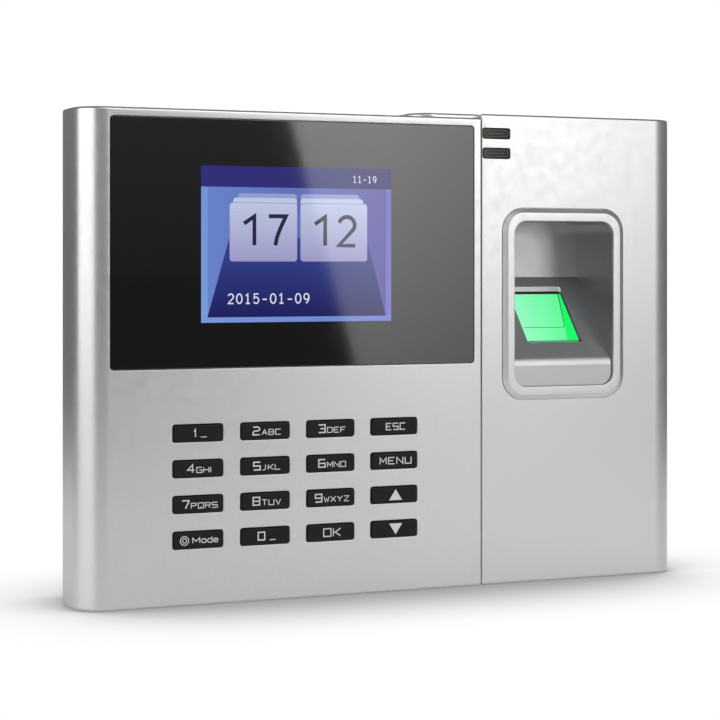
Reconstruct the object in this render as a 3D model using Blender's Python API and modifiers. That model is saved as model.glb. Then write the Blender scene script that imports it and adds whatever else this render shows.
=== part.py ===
"""Fingerprint terminal: a display and keypad module beside a finger reader module.

The terminal stands upright.  +X runs to the viewer's right, +Y from the front
towards the wall and +Z up, with the origin in the middle of the footprint.
Sizes are in millimetres and the helpers turn them into metres.  Every piece
hangs on the empty "front", which lies in the display cover's front face, so a
piece's y is its depth behind that face.
"""
import math

import bmesh
import bpy
from mathutils import Matrix, Vector

MM = 0.001
WELD = 0.000001

# The whole terminal
HALF_WIDTH = 94.25
FRONT_Y = -17.75
ROLL = 8.0
WALL = 2.2
REAR_RIM = 16.0
EDGE = 0.8
GAP = 0.3

# Display cover, on the left
LEFT_HEIGHT = 136.2
LEFT_EDGE = 26.7
PLATE = 3.0
WINDOW_X = (-85.7, 24.36)
WINDOW_Z = (65.0, 133.65)
WINDOW_DEPTH = (0.1, 1.3)
RECESS_DEPTH = 2.0

# Liquid crystal display
LCD_X = -31.0
LCD_Z = 99.08
LCD_SIGHT = (57.6, 43.25)
LCD_MODULE = (69.2, 50.0)

# Keypad
KEY_COLUMNS = (-60.75, -40.95, -21.15, -1.35)
KEY_ROWS = (47.25, 37.5, 27.75, 18.0)
KEY_NAMES = (
    ("1", "2", "3", "esc"),
    ("4", "5", "6", "menu"),
    ("7", "8", "9", "up"),
    ("mode", "0", "ok", "down"),
)
KEY_CAP = (14.3, 4.5)
KEY_HOLE = (14.7, 4.9)
KEY_FLANGE = (15.3, 6.1)
KEY_STEM = (9.0, 3.0)
KEY_PROUD = 0.4
KEYPAD_X = (-71.0, 5.9)
KEYPAD_Z = (10.5, 54.5)

# Reader cover, on the right
RIGHT_HEIGHT = 137.5
RIGHT_FACE = 0.6
RIGHT_EDGE = 6.5
REBATE_X = 27.2
REBATE_DEPTH = 3.3
REBATE_ROLL = 7.0
LAP_X = RIGHT_EDGE + REBATE_ROLL
INDICATOR_X = 32.1
INDICATOR_Z = {"upper": 131.8, "lower": 126.0}
INDICATOR = (8.75, 2.85)

# Finger reader
FINGER_X = 54.5
FINGER_Z = 81.9
BEZEL_OUTER = (40.8, 56.2, 6.8)
BEZEL_FLAT = (38.1, 53.5, 5.45)
BEZEL_OPENING = (33.5, 48.8, 4.0)
BEZEL_DEPTH = (-0.3, 1.2)
WELL_OUTER = (37.0, 52.6, 5.8)
WELL_DEPTH = (1.5, 23.4)
WELL_BACK = 21.5
LIP_DEPTH = 0.7
LIP_RADIUS = 4.0
SLOPE = 50.0
SLOPE_FOOT = (2.5, 67.0)
FLOOR_THICKNESS = 2.0
SENSOR_ALONG = 14.5
SENSOR_RECESS = 0.4
SENSOR = (17.6, 19.0)

# Rear cover and wall plate
REAR_FRONT = (93.4, 135.6)
REAR_BACK = (84.0, 128.5)
REAR_DEPTH = (16.3, 35.4)
POCKET_X = (-52.0, 52.0)
POCKET_Z = (66.0, 126.0)
POCKET_DEPTH = 32.4
BAY_X = (-18.0, 40.0)
BAY_TOP = 40.0
BAY_DEPTH = 20.9
SPEAKER = (-55.0, 30.0)
CASE_SCREWS = ((-77.0, 12.0), (77.0, 12.0), (-77.0, 118.0), (77.0, 118.0))
HOOK_X = (-40.0, 40.0)
HOOK_Z = 104.0
PLATE_DEPTH = (34.4, 35.9)
PLATE_CENTRE_Z = 96.0
PLATE_SIZE = (100.0, 56.0)
PLATE_HOLES = ((-30.0, 76.0), (30.0, 76.0), (-30.0, 117.0), (30.0, 117.0))
HOOK_WIDTH = 8.0
HOOK_SHEET = 1.5
HOOK_REACH = 28.2
TONGUE_X = (-14.0, -2.0)
TONGUE_FOOT = BAY_TOP - 3.1
TONGUE_REACH = 24.0
LOCK = (-8.0, 28.0)
TAMPER = (-30.0, 110.0)
SCREW_SHAFT = 1.45
SCREW_HOLE = 1.7
POST_RADIUS = 4.3
POST_BORE = 3.3
PLATE_HOLE = 2.25
GRILLE_OFFSETS = (-8.0, -4.0, 0.0, 4.0, 8.0)
GRILLE_SLOT = (16.0, 1.6)

# Boards and what stands on them
BOARD_X = (-70.0, 30.0)
BOARD_DEPTH = (17.0, 18.6)
BOARD_Z = (44.0, 126.0)
ON_BOARD = BOARD_DEPTH[1] + GAP
PROCESSOR = ((-34.0, -14.0), (ON_BOARD, 20.5), (76.0, 96.0))
MEMORY = ((-34.0, -20.0), (ON_BOARD, 20.1), (62.0, 72.0))
COIN_CELL = (-56.0, 100.0)
COIN_CELL_RADIUS = 10.0
CELL_HOLDER = 24.0
BUZZER = (10.0, ON_BOARD, 110.0)
BUZZER_RADIUS = 4.75

# Sockets
JACK_FOOT = 40.5
NETWORK = ((6.0, 22.0), (ON_BOARD, 32.3), (JACK_FOOT, 61.5))
NETWORK_MOUTH = ((8.0, 20.0), (21.1, 29.9), (JACK_FOOT - 1, 54.5))
NETWORK_LATCH = ((11.0, 17.0), (29.5, 31.3), (JACK_FOOT - 1, 51.0))
POWER = ((26.0, 35.0), (ON_BOARD, 29.9), (JACK_FOOT, 54.5))
POWER_CENTRE = (30.5, 24.4)
POWER_BARREL = 3.1
POWER_PIN = 1.0
USB = ((79.0, 93.95), (9.3, 15.0), (23.5, 36.6))
USB_SHEET = 0.6
USB_TONGUE = ((80.2, 92.5), (10.6, 12.4), (25.0, 35.1))
USB_BOARD = ((76.0, 89.5), (15.3, 16.5), (19.0, 41.0))

TURNS = {
    "X": (math.radians(90), 0, math.radians(90)),
    "Y": (math.radians(90), 0, 0),
    "Z": (0, 0, 0),
}

FINISHES = {
    "silver_paint": ((0.62, 0.63, 0.65), 0.38, 0.3),
    "reader_grey": ((0.55, 0.56, 0.57), 0.4, 0.25),
    "rear_plastic": ((0.09, 0.09, 0.1), 0.6, 0.0),
    "window_black": ((0.012, 0.012, 0.014), 0.08, 0.0),
    "key_black": ((0.015, 0.015, 0.017), 0.25, 0.0),
    "lcd_glass": ((0.05, 0.08, 0.3), 0.15, 0.0),
    "lcd_frame": ((0.7, 0.7, 0.72), 0.3, 0.9),
    "sensor_glass": ((0.16, 1.0, 0.35), 0.1, 0.0),
    "smoked_plastic": ((0.09, 0.08, 0.075), 0.15, 0.0),
    "black_plastic": ((0.03, 0.03, 0.03), 0.5, 0.0),
    "board_green": ((0.02, 0.2, 0.08), 0.45, 0.0),
    "zinc_steel": ((0.66, 0.67, 0.68), 0.35, 1.0),
    "rubber_grey": ((0.25, 0.25, 0.26), 0.8, 0.0),
    "tape_black": ((0.02, 0.02, 0.02), 0.9, 0.0),
    "ribbon": ((0.75, 0.5, 0.2), 0.4, 0.0),
}


def clear_scene():
    """Remove whatever the file opened with."""
    for item in list(bpy.data.objects):
        bpy.data.objects.remove(item)


def make_collection(name):
    """Add a collection to the scene."""
    collection = bpy.data.collections.new(name)
    bpy.context.scene.collection.children.link(collection)
    return collection


clear_scene()
TERMINAL = make_collection("fingerprint_terminal")
CUTTERS = make_collection("cutters")


def make_empty(name, location, turn=(0, 0, 0), parent=None):
    """Add an empty that pieces are placed from."""
    empty = bpy.data.objects.new(name, None)
    CUTTERS.objects.link(empty)
    empty.parent = parent
    empty.location = Vector(location) * MM
    empty.rotation_euler = turn
    return empty


FRONT = make_empty("front", (0, FRONT_Y, 0))


def slope_point(along, inward=0.0):
    """Depth and height of a point up the finger well's floor and then into it."""
    angle = math.radians(SLOPE)
    depth = SLOPE_FOOT[0] + along * math.cos(angle) + inward * math.sin(angle)
    height = SLOPE_FOOT[1] + along * math.sin(angle) - inward * math.cos(angle)
    return depth, height


SENSOR_FRAME = make_empty(
    "sensor_frame",
    (FINGER_X, *slope_point(SENSOR_ALONG, SENSOR_RECESS)),
    (math.radians(SLOPE), 0, 0),
    FRONT,
)


def add(name, mesh, centre=(0, 0, 0), turn=(0, 0, 0), parent=FRONT):
    """Place a mesh as a named piece."""
    mesh.shade_smooth()
    mesh.set_sharp_from_angle(angle=math.radians(35))
    piece = bpy.data.objects.new(name, mesh)
    TERMINAL.objects.link(piece)
    piece.parent = parent
    piece.location = Vector(centre) * MM
    piece.rotation_euler = turn
    return piece


def finish(piece, name):
    """Give a piece one of the terminal's finishes."""
    material = bpy.data.materials.get(name)
    if material is None:
        colour, roughness, metallic = FINISHES[name]
        material = bpy.data.materials.new(name)
        material.use_nodes = True
        shader = material.node_tree.nodes["Principled BSDF"]
        shader.inputs["Base Color"].default_value = (*colour, 1)
        shader.inputs["Roughness"].default_value = roughness
        shader.inputs["Metallic"].default_value = metallic
    piece.data.materials.append(material)
    return piece


def arc(cx, cy, radius, start, stop, steps):
    """Points on a circle between two angles in degrees."""
    angles = [math.radians(start + (stop - start) * i / steps) for i in range(steps + 1)]
    return [(cx + radius * math.cos(a), cy + radius * math.sin(a)) for a in angles]


def circle(cx, cy, radius, steps=16):
    """A closed circle's points."""
    return arc(cx, cy, radius, 0, 360, steps)[:-1]


def round_rect(cx, cy, width, height, radius, steps=4):
    """A closed rectangle's points, with round corners."""
    points = []
    for side_x, side_y, start in ((1, 1, 0), (-1, 1, 90), (-1, -1, 180), (1, -1, 270)):
        corner_x = cx + side_x * (width / 2 - radius)
        corner_y = cy + side_y * (height / 2 - radius)
        points += arc(corner_x, corner_y, radius, start, start + 90, steps)
    return points


def rectangle(low_x, high_x, low_y, high_y):
    """A closed rectangle's four points."""
    return [(low_x, low_y), (high_x, low_y), (high_x, high_y), (low_x, high_y)]


def around(centre, size):
    """The low and high ends of a length about its middle."""
    return centre - size / 2, centre + size / 2


def close_up(mesh):
    """Weld a mesh's coincident points and turn its faces outwards."""
    work = bmesh.new()
    work.from_mesh(mesh)
    bmesh.ops.remove_doubles(work, verts=work.verts, dist=WELD)
    bmesh.ops.recalc_face_normals(work, faces=work.faces)
    work.to_mesh(mesh)
    work.free()
    return mesh


def prism(name, outlines, low, high, along="Y", parent=FRONT):
    """A flat outline, with its holes, given a thickness along one axis."""
    curve = bpy.data.curves.new(name + "_sketch", "CURVE")
    curve.dimensions = "2D"
    curve.fill_mode = "BOTH"
    curve.extrude = (high - low) / 2 * MM
    for outline in outlines:
        spline = curve.splines.new("POLY")
        spline.points.add(len(outline) - 1)
        spline.use_cyclic_u = True
        for point, (across, up) in zip(spline.points, outline):
            point.co = (across * MM, up * MM, 0, 1)
    sketch = bpy.data.objects.new(name + "_sketch", curve)
    CUTTERS.objects.link(sketch)
    graph = bpy.context.evaluated_depsgraph_get()
    mesh = bpy.data.meshes.new_from_object(sketch.evaluated_get(graph))
    bpy.data.objects.remove(sketch)
    mesh.name = name
    middle = (low + high) / 2
    centre = {"X": (middle, 0, 0), "Y": (0, middle, 0), "Z": (0, 0, middle)}[along]
    return add(name, close_up(mesh), centre, TURNS[along], parent)


def boxes(name, spans, corner=0.0, steps=2, parent=FRONT):
    """Boxes given by their spans along x, y and z, with corners rounded about y."""
    work = bmesh.new()
    for box in spans:
        size = Matrix.Diagonal([(high - low) * MM for low, high in box]).to_4x4()
        middle = Matrix.Translation([(high + low) / 2 * MM for low, high in box])
        made = bmesh.ops.create_cube(work, size=1.0, matrix=middle @ size)
        if corner:
            ends = set(made["verts"])
            edges = [
                edge
                for edge in work.edges
                if ends.issuperset(edge.verts)
                and abs(edge.verts[0].co.y - edge.verts[1].co.y) > WELD
            ]
            bmesh.ops.bevel(
                work, geom=edges, offset=corner * MM, offset_type="OFFSET",
                segments=steps, profile=0.5, affect="EDGES",
            )
    mesh = bpy.data.meshes.new(name)
    work.to_mesh(mesh)
    work.free()
    return add(name, mesh, parent=parent)


def block(name, x, y, z, corner=0.0, steps=2, parent=FRONT):
    """One box."""
    return boxes(name, [(x, y, z)], corner, steps, parent)


def loft(name, sections):
    """Skin outlines in x and z, each at its own depth, and cap the two ends."""
    work = bmesh.new()
    rings = []
    for depth, outline in sections:
        rings.append([work.verts.new((x * MM, depth * MM, z * MM)) for x, z in outline])
    for ring, following in zip(rings, rings[1:]):
        for i in range(len(ring)):
            work.faces.new((ring[i - 1], ring[i], following[i], following[i - 1]))
    work.faces.new(rings[0])
    work.faces.new(rings[-1])
    mesh = bpy.data.meshes.new(name)
    work.to_mesh(mesh)
    work.free()
    return add(name, close_up(mesh))


def turned(name, profile, base, along="Y", steps=16, parent=FRONT):
    """A profile of radius and height, listed from the top down, turned about an axis."""
    mesh = bpy.data.meshes.new(name)
    edges = [(i, i + 1) for i in range(len(profile) - 1)]
    mesh.from_pydata([(r * MM, 0, h * MM) for r, h in profile], edges, [])
    piece = add(name, mesh, base, (math.radians(-90), 0, 0) if along == "Y" else (0, 0, 0), parent)
    screw = piece.modifiers.new("turn", "SCREW")
    screw.steps = steps
    screw.render_steps = steps
    screw.use_merge_vertices = True
    screw.merge_threshold = 0.00001
    return piece


def boolean(piece, operation, others):
    """Cut or join a piece with others, which then leave the model."""
    for other in others:
        modifier = piece.modifiers.new(other.name, "BOOLEAN")
        modifier.operation = operation
        modifier.solver = "EXACT"
        modifier.object = other
        if other.name in TERMINAL.objects:
            TERMINAL.objects.unlink(other)
            CUTTERS.objects.link(other)
        other.hide_render = True
        other.display_type = "WIRE"
    return piece


def cut(piece, *others):
    """Take other shapes out of a piece."""
    return boolean(piece, "DIFFERENCE", others)


def join(piece, *others):
    """Make other shapes part of a piece."""
    return boolean(piece, "UNION", others)


def soften(piece, width, segments=2):
    """Round the sharp edges of a piece."""
    bevel = piece.modifiers.new("soften", "BEVEL")
    bevel.width = width * MM
    bevel.segments = segments
    bevel.limit_method = "ANGLE"
    bevel.angle_limit = math.radians(40)
    return piece


def ribbon(name, path, low, high, along):
    """A flat cable 0.3 mm thick that follows a path and is wide along one axis."""
    half = 0.15
    sides = ([], [])
    for i, (u, v) in enumerate(path):
        before = Vector(path[max(i - 1, 0)])
        after = Vector(path[min(i + 1, len(path) - 1)])
        run = (after - before).normalized()
        sides[0].append((u - run.y * half, v + run.x * half))
        sides[1].append((u + run.y * half, v - run.x * half))
    outline = sides[0] + sides[1][::-1]
    return finish(prism(name, [outline], low, high, along), "ribbon")


def screw_boss(name, x, z):
    """A post on a front cover that takes a case screw."""
    return turned(name, [(0, 14.0), (3.5, 14.0), (3.5, 0), (0, 0)], (x, 2.6, z), steps=12)


def screw_hole(name, x, z):
    """The hole in such a post."""
    return turned(name, [(0, 14.0), (1.7, 14.0), (1.7, 0), (0, 0)], (x, 7.0, z), steps=12)


def key_boxes(name, size, depth, corner):
    """One box for every key, at the key's place."""
    spans = []
    for z in KEY_ROWS:
        for x in KEY_COLUMNS:
            spans.append((around(x, size[0]), depth, around(z, size[1])))
    return boxes(name, spans, corner)


def make_left_cover():
    """The silver cover that carries the window and the keys, rolled at its outer edge."""
    roll = arc(-HALF_WIDTH + ROLL, ROLL, ROLL, 180, 270, 8)
    lap = arc(LAP_X, REBATE_DEPTH + REBATE_ROLL, REBATE_ROLL + GAP, 270, 180, 8)
    outer = [(-HALF_WIDTH, REAR_RIM)] + roll + [(LEFT_EDGE, 0), (LEFT_EDGE, PLATE)]
    outer += lap + [(RIGHT_EDGE - GAP, REAR_RIM)]
    cover = prism("left_cover", [outer], 0, LEFT_HEIGHT, "Z")
    soften(cover, EDGE)
    inner_edge = -HALF_WIDTH + WALL
    inner_roll = ROLL - PLATE
    inner = [(inner_edge, REAR_RIM + 1)]
    inner += arc(inner_edge + inner_roll, ROLL, inner_roll, 180, 270, 6)
    inner += [(LAP_X - 0.5, PLATE), (LAP_X - 0.5, REAR_RIM + 1)]
    hollow = prism("left_hollow", [inner], WALL, LEFT_HEIGHT - WALL, "Z")
    clearance = 0.15
    recess = block(
        "window_recess",
        (WINDOW_X[0] - clearance, WINDOW_X[1] + clearance), (-1, RECESS_DEPTH),
        (WINDOW_Z[0] - clearance, WINDOW_Z[1] + clearance), 1.0,
    )
    sight = block(
        "lcd_sight", around(LCD_X, LCD_SIGHT[0] + 2), (1, 4), around(LCD_Z, LCD_SIGHT[1] + 2)
    )
    holes = key_boxes("key_holes", KEY_HOLE, (-1, 4), 0.7)
    cut(cover, hollow, recess, sight, holes)
    for number, (x, z) in enumerate(CASE_SCREWS, 1):
        if x < 0:
            join(cover, screw_boss(f"boss_{number}", x, z))
            cut(cover, screw_hole(f"boss_hole_{number}", x, z))
    return finish(cover, "silver_paint")


def make_right_cover():
    """The silver cover round the finger reader, rebated where the left cover laps it."""
    far_roll = arc(HALF_WIDTH - ROLL, RIGHT_FACE + ROLL, ROLL, 270, 360, 8)
    near_roll = arc(LAP_X, REBATE_DEPTH + REBATE_ROLL, REBATE_ROLL, 180, 270, 8)
    outer = [(RIGHT_EDGE, REAR_RIM)] + near_roll
    outer += [(REBATE_X, REBATE_DEPTH), (REBATE_X, RIGHT_FACE)]
    outer += far_roll + [(HALF_WIDTH, REAR_RIM)]
    cover = prism("right_cover", [outer], 0, RIGHT_HEIGHT, "Z")
    soften(cover, EDGE)
    near_inner = REBATE_ROLL - WALL
    far_inner = ROLL - WALL
    near_roll = arc(LAP_X, REBATE_DEPTH + REBATE_ROLL, near_inner, 180, 270, 5)
    far_roll = arc(HALF_WIDTH - ROLL, RIGHT_FACE + ROLL, far_inner, 270, 360, 6)
    inner = [(RIGHT_EDGE + WALL, REAR_RIM + 1)] + near_roll
    inner += [(REBATE_X + WALL, REBATE_DEPTH + WALL), (REBATE_X + WALL, RIGHT_FACE + WALL)]
    inner += far_roll + [(HALF_WIDTH - WALL, REAR_RIM + 1)]
    hollow = prism("right_hollow", [inner], WALL, RIGHT_HEIGHT - WALL, "Z")
    width, height, radius = BEZEL_OUTER
    seat_outline = round_rect(FINGER_X, FINGER_Z, width + GAP, height + GAP, radius + GAP / 2)
    seat = prism("bezel_seat", [seat_outline], -1, BEZEL_DEPTH[1] + GAP)
    width, height, radius = WELL_OUTER
    hole_outline = round_rect(FINGER_X, FINGER_Z, width + 2 * GAP, height + 2 * GAP, radius + GAP)
    hole = prism("well_hole", [hole_outline], 0, 6)
    slots = boxes(
        "indicator_slots",
        [
            (around(INDICATOR_X, INDICATOR[0] + GAP), (-1, 7), around(z, INDICATOR[1] + GAP))
            for z in INDICATOR_Z.values()
        ],
        0.6,
    )
    _, usb_depth, usb_z = USB
    port = block(
        "usb_port", (HALF_WIDTH - 4.25, HALF_WIDTH + 1.75),
        (usb_depth[0] - 0.2, usb_depth[1] + 0.2), (usb_z[0] - 0.2, usb_z[1] + 0.2),
    )
    cut(cover, hollow, seat, hole, slots, port)
    for number, (x, z) in enumerate(CASE_SCREWS, 1):
        if x > 0:
            join(cover, screw_boss(f"boss_{number}", x, z))
            cut(cover, screw_hole(f"boss_hole_{number}", x, z))
    return finish(cover, "silver_paint")


def make_finger_bezel():
    """The raised frame round the finger well, with sloping sides."""
    sections = [
        (BEZEL_DEPTH[0], round_rect(FINGER_X, FINGER_Z, *BEZEL_FLAT, steps=6)),
        (RIGHT_FACE, round_rect(FINGER_X, FINGER_Z, *BEZEL_OUTER, steps=6)),
        (BEZEL_DEPTH[1], round_rect(FINGER_X, FINGER_Z, *BEZEL_OUTER, steps=6)),
    ]
    bezel = loft("finger_bezel", sections)
    opening = prism(
        "bezel_opening", [round_rect(FINGER_X, FINGER_Z, *BEZEL_OPENING)], -2, 3
    )
    return finish(cut(bezel, opening), "silver_paint")


def well_air():
    """The space in the finger well, seen from the side: lip, sloping floor and back."""
    angle = math.radians(SLOPE)
    lip_y = LIP_DEPTH + LIP_RADIUS
    run = (lip_y - SLOPE_FOOT[0]) * math.sin(angle) - LIP_RADIUS
    lip_z = SLOPE_FOOT[1] + run / math.cos(angle)
    lip = arc(lip_y, lip_z, LIP_RADIUS, 180, 90 + SLOPE, 4)
    back_z = SLOPE_FOOT[1] + (WELL_BACK - SLOPE_FOOT[0]) * math.tan(angle)
    outline = [(-2, 50), (LIP_DEPTH, 50)] + lip
    outline += [(WELL_BACK, back_z), (WELL_BACK, 115), (-2, 115)]
    return prism("well_air", [outline], *around(FINGER_X, 50), "X")


def make_finger_well():
    """The tray that guides the finger down onto the sensor."""
    well = prism("finger_well", [round_rect(FINGER_X, FINGER_Z, *WELL_OUTER)], *WELL_DEPTH)
    width, height, radius = BEZEL_OPENING
    nose_outline = round_rect(FINGER_X, FINGER_Z, width - 0.4, height - 0.4, radius - 0.2)
    nose = prism("well_nose", [nose_outline], 0.2, WELL_DEPTH[0] + 1)
    air = prism("well_opening", [round_rect(FINGER_X, FINGER_Z, *BEZEL_OPENING)], -1, 22.5)
    boolean(air, "INTERSECT", [well_air()])
    front_wall = 2.9
    foot_z = slope_point(0, FLOOR_THICKNESS)[1]
    foot_y = slope_point(0, FLOOR_THICKNESS)[0]
    rise = math.tan(math.radians(SLOPE))
    back = WELL_DEPTH[1] + 1
    under_outline = [
        (front_wall, 50), (front_wall, foot_z + (front_wall - foot_y) * rise),
        (back, foot_z + (back - foot_y) * rise), (back, 50),
    ]
    under = prism("well_under", [under_outline], *around(FINGER_X, WELL_OUTER[0] - 3.6), "X")
    hole = block(
        "sensor_hole", around(0, SENSOR[0] + 0.5), around(0, SENSOR[1] + 0.5), (-6, 3),
        parent=SENSOR_FRAME,
    )
    join(well, nose)
    cut(well, air, under, hole)
    return finish(well, "reader_grey")


def make_sensor():
    """The optical sensor under the well's floor, placed along the floor's slope."""
    prism_block = block(
        "sensor_prism", around(0, SENSOR[0]), around(0, SENSOR[1]), (-5, 0), parent=SENSOR_FRAME
    )
    finish(prism_block, "sensor_glass")
    housing = block(
        "sensor_housing", around(0, 24), around(0, 23), (-10.9, -2.0), parent=SENSOR_FRAME
    )
    seat = block(
        "prism_seat", around(0, SENSOR[0] + 0.7), around(0, SENSOR[1] + 0.7), (-5.3, 0),
        parent=SENSOR_FRAME,
    )
    chamber = block("lens_chamber", around(0, 16), around(0, 17), (-12, -4), parent=SENSOR_FRAME)
    finish(cut(housing, seat, chamber), "black_plastic")
    lens = turned(
        "sensor_lens", [(0, 4), (2.6, 4), (4, 2.6), (4, 0), (0, 0)], (0, 1.5, -10.9),
        along="Z", parent=SENSOR_FRAME,
    )
    finish(lens, "black_plastic")
    bar = block("sensor_light_bar", around(0, 14), (-7.9, -5.2), (-10.9, -8), parent=SENSOR_FRAME)
    finish(bar, "sensor_glass")
    board = block(
        "sensor_board", around(0, 24), around(0, 23), (-12.4, -11.2), parent=SENSOR_FRAME
    )
    finish(board, "board_green")


def make_display():
    """The window, its adhesive frame and the liquid crystal module behind it."""
    window = block("display_window", WINDOW_X, WINDOW_DEPTH, WINDOW_Z, 1.0)
    finish(window, "window_black")
    low_x, high_x = WINDOW_X
    low_z, high_z = WINDOW_Z
    frame = rectangle(low_x + 1, high_x - 1, low_z + 1, high_z - 1)
    sight_x = around(LCD_X, LCD_SIGHT[0] + 4)
    sight_z = around(LCD_Z, LCD_SIGHT[1] + 4)
    tape = prism("window_tape", [frame, rectangle(*sight_x, *sight_z)], 1.5, 1.8)
    finish(tape, "tape_black")
    tray = block("lcd_frame", around(LCD_X - 2.5, LCD_MODULE[0]), (3.3, 7.3),
                 around(LCD_Z, LCD_MODULE[1]))
    inside_x = around(LCD_X - 2.5, LCD_MODULE[0] - 2.6)
    inside_z = around(LCD_Z, LCD_MODULE[1] - 2.6)
    cut(tray, block("lcd_tray_space", inside_x, (2, 6.3), inside_z))
    finish(tray, "lcd_frame")
    sheet_x = around(LCD_X - 2.5, LCD_MODULE[0] - 3.2)
    sheet_z = around(LCD_Z, LCD_MODULE[1] - 3.2)
    finish(block("lcd_panel", sheet_x, (3.5, 4.9), sheet_z), "lcd_glass")
    finish(block("lcd_backlight", sheet_x, (5.2, 6.0), sheet_z), "rubber_grey")


def make_key_mesh():
    """A key: cap, retaining flange and stem, with its origin in the cap's middle."""
    cap = block("key_cap", around(0, KEY_CAP[0]), (-KEY_PROUD, 3.6), around(0, KEY_CAP[1]), 0.6)
    flange = block("key_flange", around(0, KEY_FLANGE[0]), (3.3, 4.1), around(0, KEY_FLANGE[1]))
    stem = block("key_stem", around(0, KEY_STEM[0]), (3.8, 7.0), around(0, KEY_STEM[1]))
    join(cap, flange, stem)
    graph = bpy.context.evaluated_depsgraph_get()
    mesh = bpy.data.meshes.new_from_object(cap.evaluated_get(graph))
    for guide in (cap, flange, stem):
        bpy.data.objects.remove(guide)
    return mesh


def make_keypad():
    """Sixteen keys, the rubber mat behind them and the contact board."""
    mesh = make_key_mesh()
    for row, z in zip(KEY_NAMES, KEY_ROWS):
        for name, x in zip(row, KEY_COLUMNS):
            key = add(f"key_{name}", mesh, (x, 0, z))
            if not mesh.materials:
                finish(key, "key_black")
    mat = block("keypad_mat", KEYPAD_X, (6.9, 7.9), KEYPAD_Z)
    stem_hole = (KEY_STEM[0] + 0.6, KEY_STEM[1] + 0.6)
    cut(mat, key_boxes("stem_holes", stem_hole, (6, 9), 0))
    finish(mat, "rubber_grey")
    finish(block("keypad_board", KEYPAD_X, (8.2, 9.4), KEYPAD_Z), "board_green")


def make_indicators():
    """Two smoked light pipes and the board with their lamps."""
    for place, z in INDICATOR_Z.items():
        pipe = block(
            f"indicator_pipe_{place}", around(INDICATOR_X, INDICATOR[0]), (0.5, 7.0),
            around(z, INDICATOR[1]), 0.45,
        )
        finish(pipe, "smoked_plastic")
    finish(block("indicator_board", (30.2, 46), (7.3, 8.5), (121.5, 134.5)), "board_green")


def rear_shell():
    """The tapering rear shell, open to the front."""
    depth_low, depth_high = REAR_DEPTH
    outer = [
        (depth_low, rectangle(-REAR_FRONT[0], REAR_FRONT[0], 0, REAR_FRONT[1])),
        (depth_high, rectangle(-REAR_BACK[0], REAR_BACK[0], 0, REAR_BACK[1])),
    ]
    shell = soften(loft("rear_cover", outer), 1.2)
    reach = 1.0
    slant_x = (REAR_FRONT[0] - REAR_BACK[0]) / (depth_high - depth_low)
    slant_z = (REAR_FRONT[1] - REAR_BACK[1]) / (depth_high - depth_low)
    front_x = REAR_FRONT[0] - WALL + reach * slant_x
    front_z = REAR_FRONT[1] - WALL + reach * slant_z
    back_x = REAR_BACK[0] - WALL + WALL * slant_x
    back_z = REAR_BACK[1] - WALL + WALL * slant_z
    inner = [
        (depth_low - reach, rectangle(-front_x, front_x, WALL, front_z)),
        (depth_high - WALL, rectangle(-back_x, back_x, WALL, back_z)),
    ]
    return cut(shell, loft("rear_hollow", inner))


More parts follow.
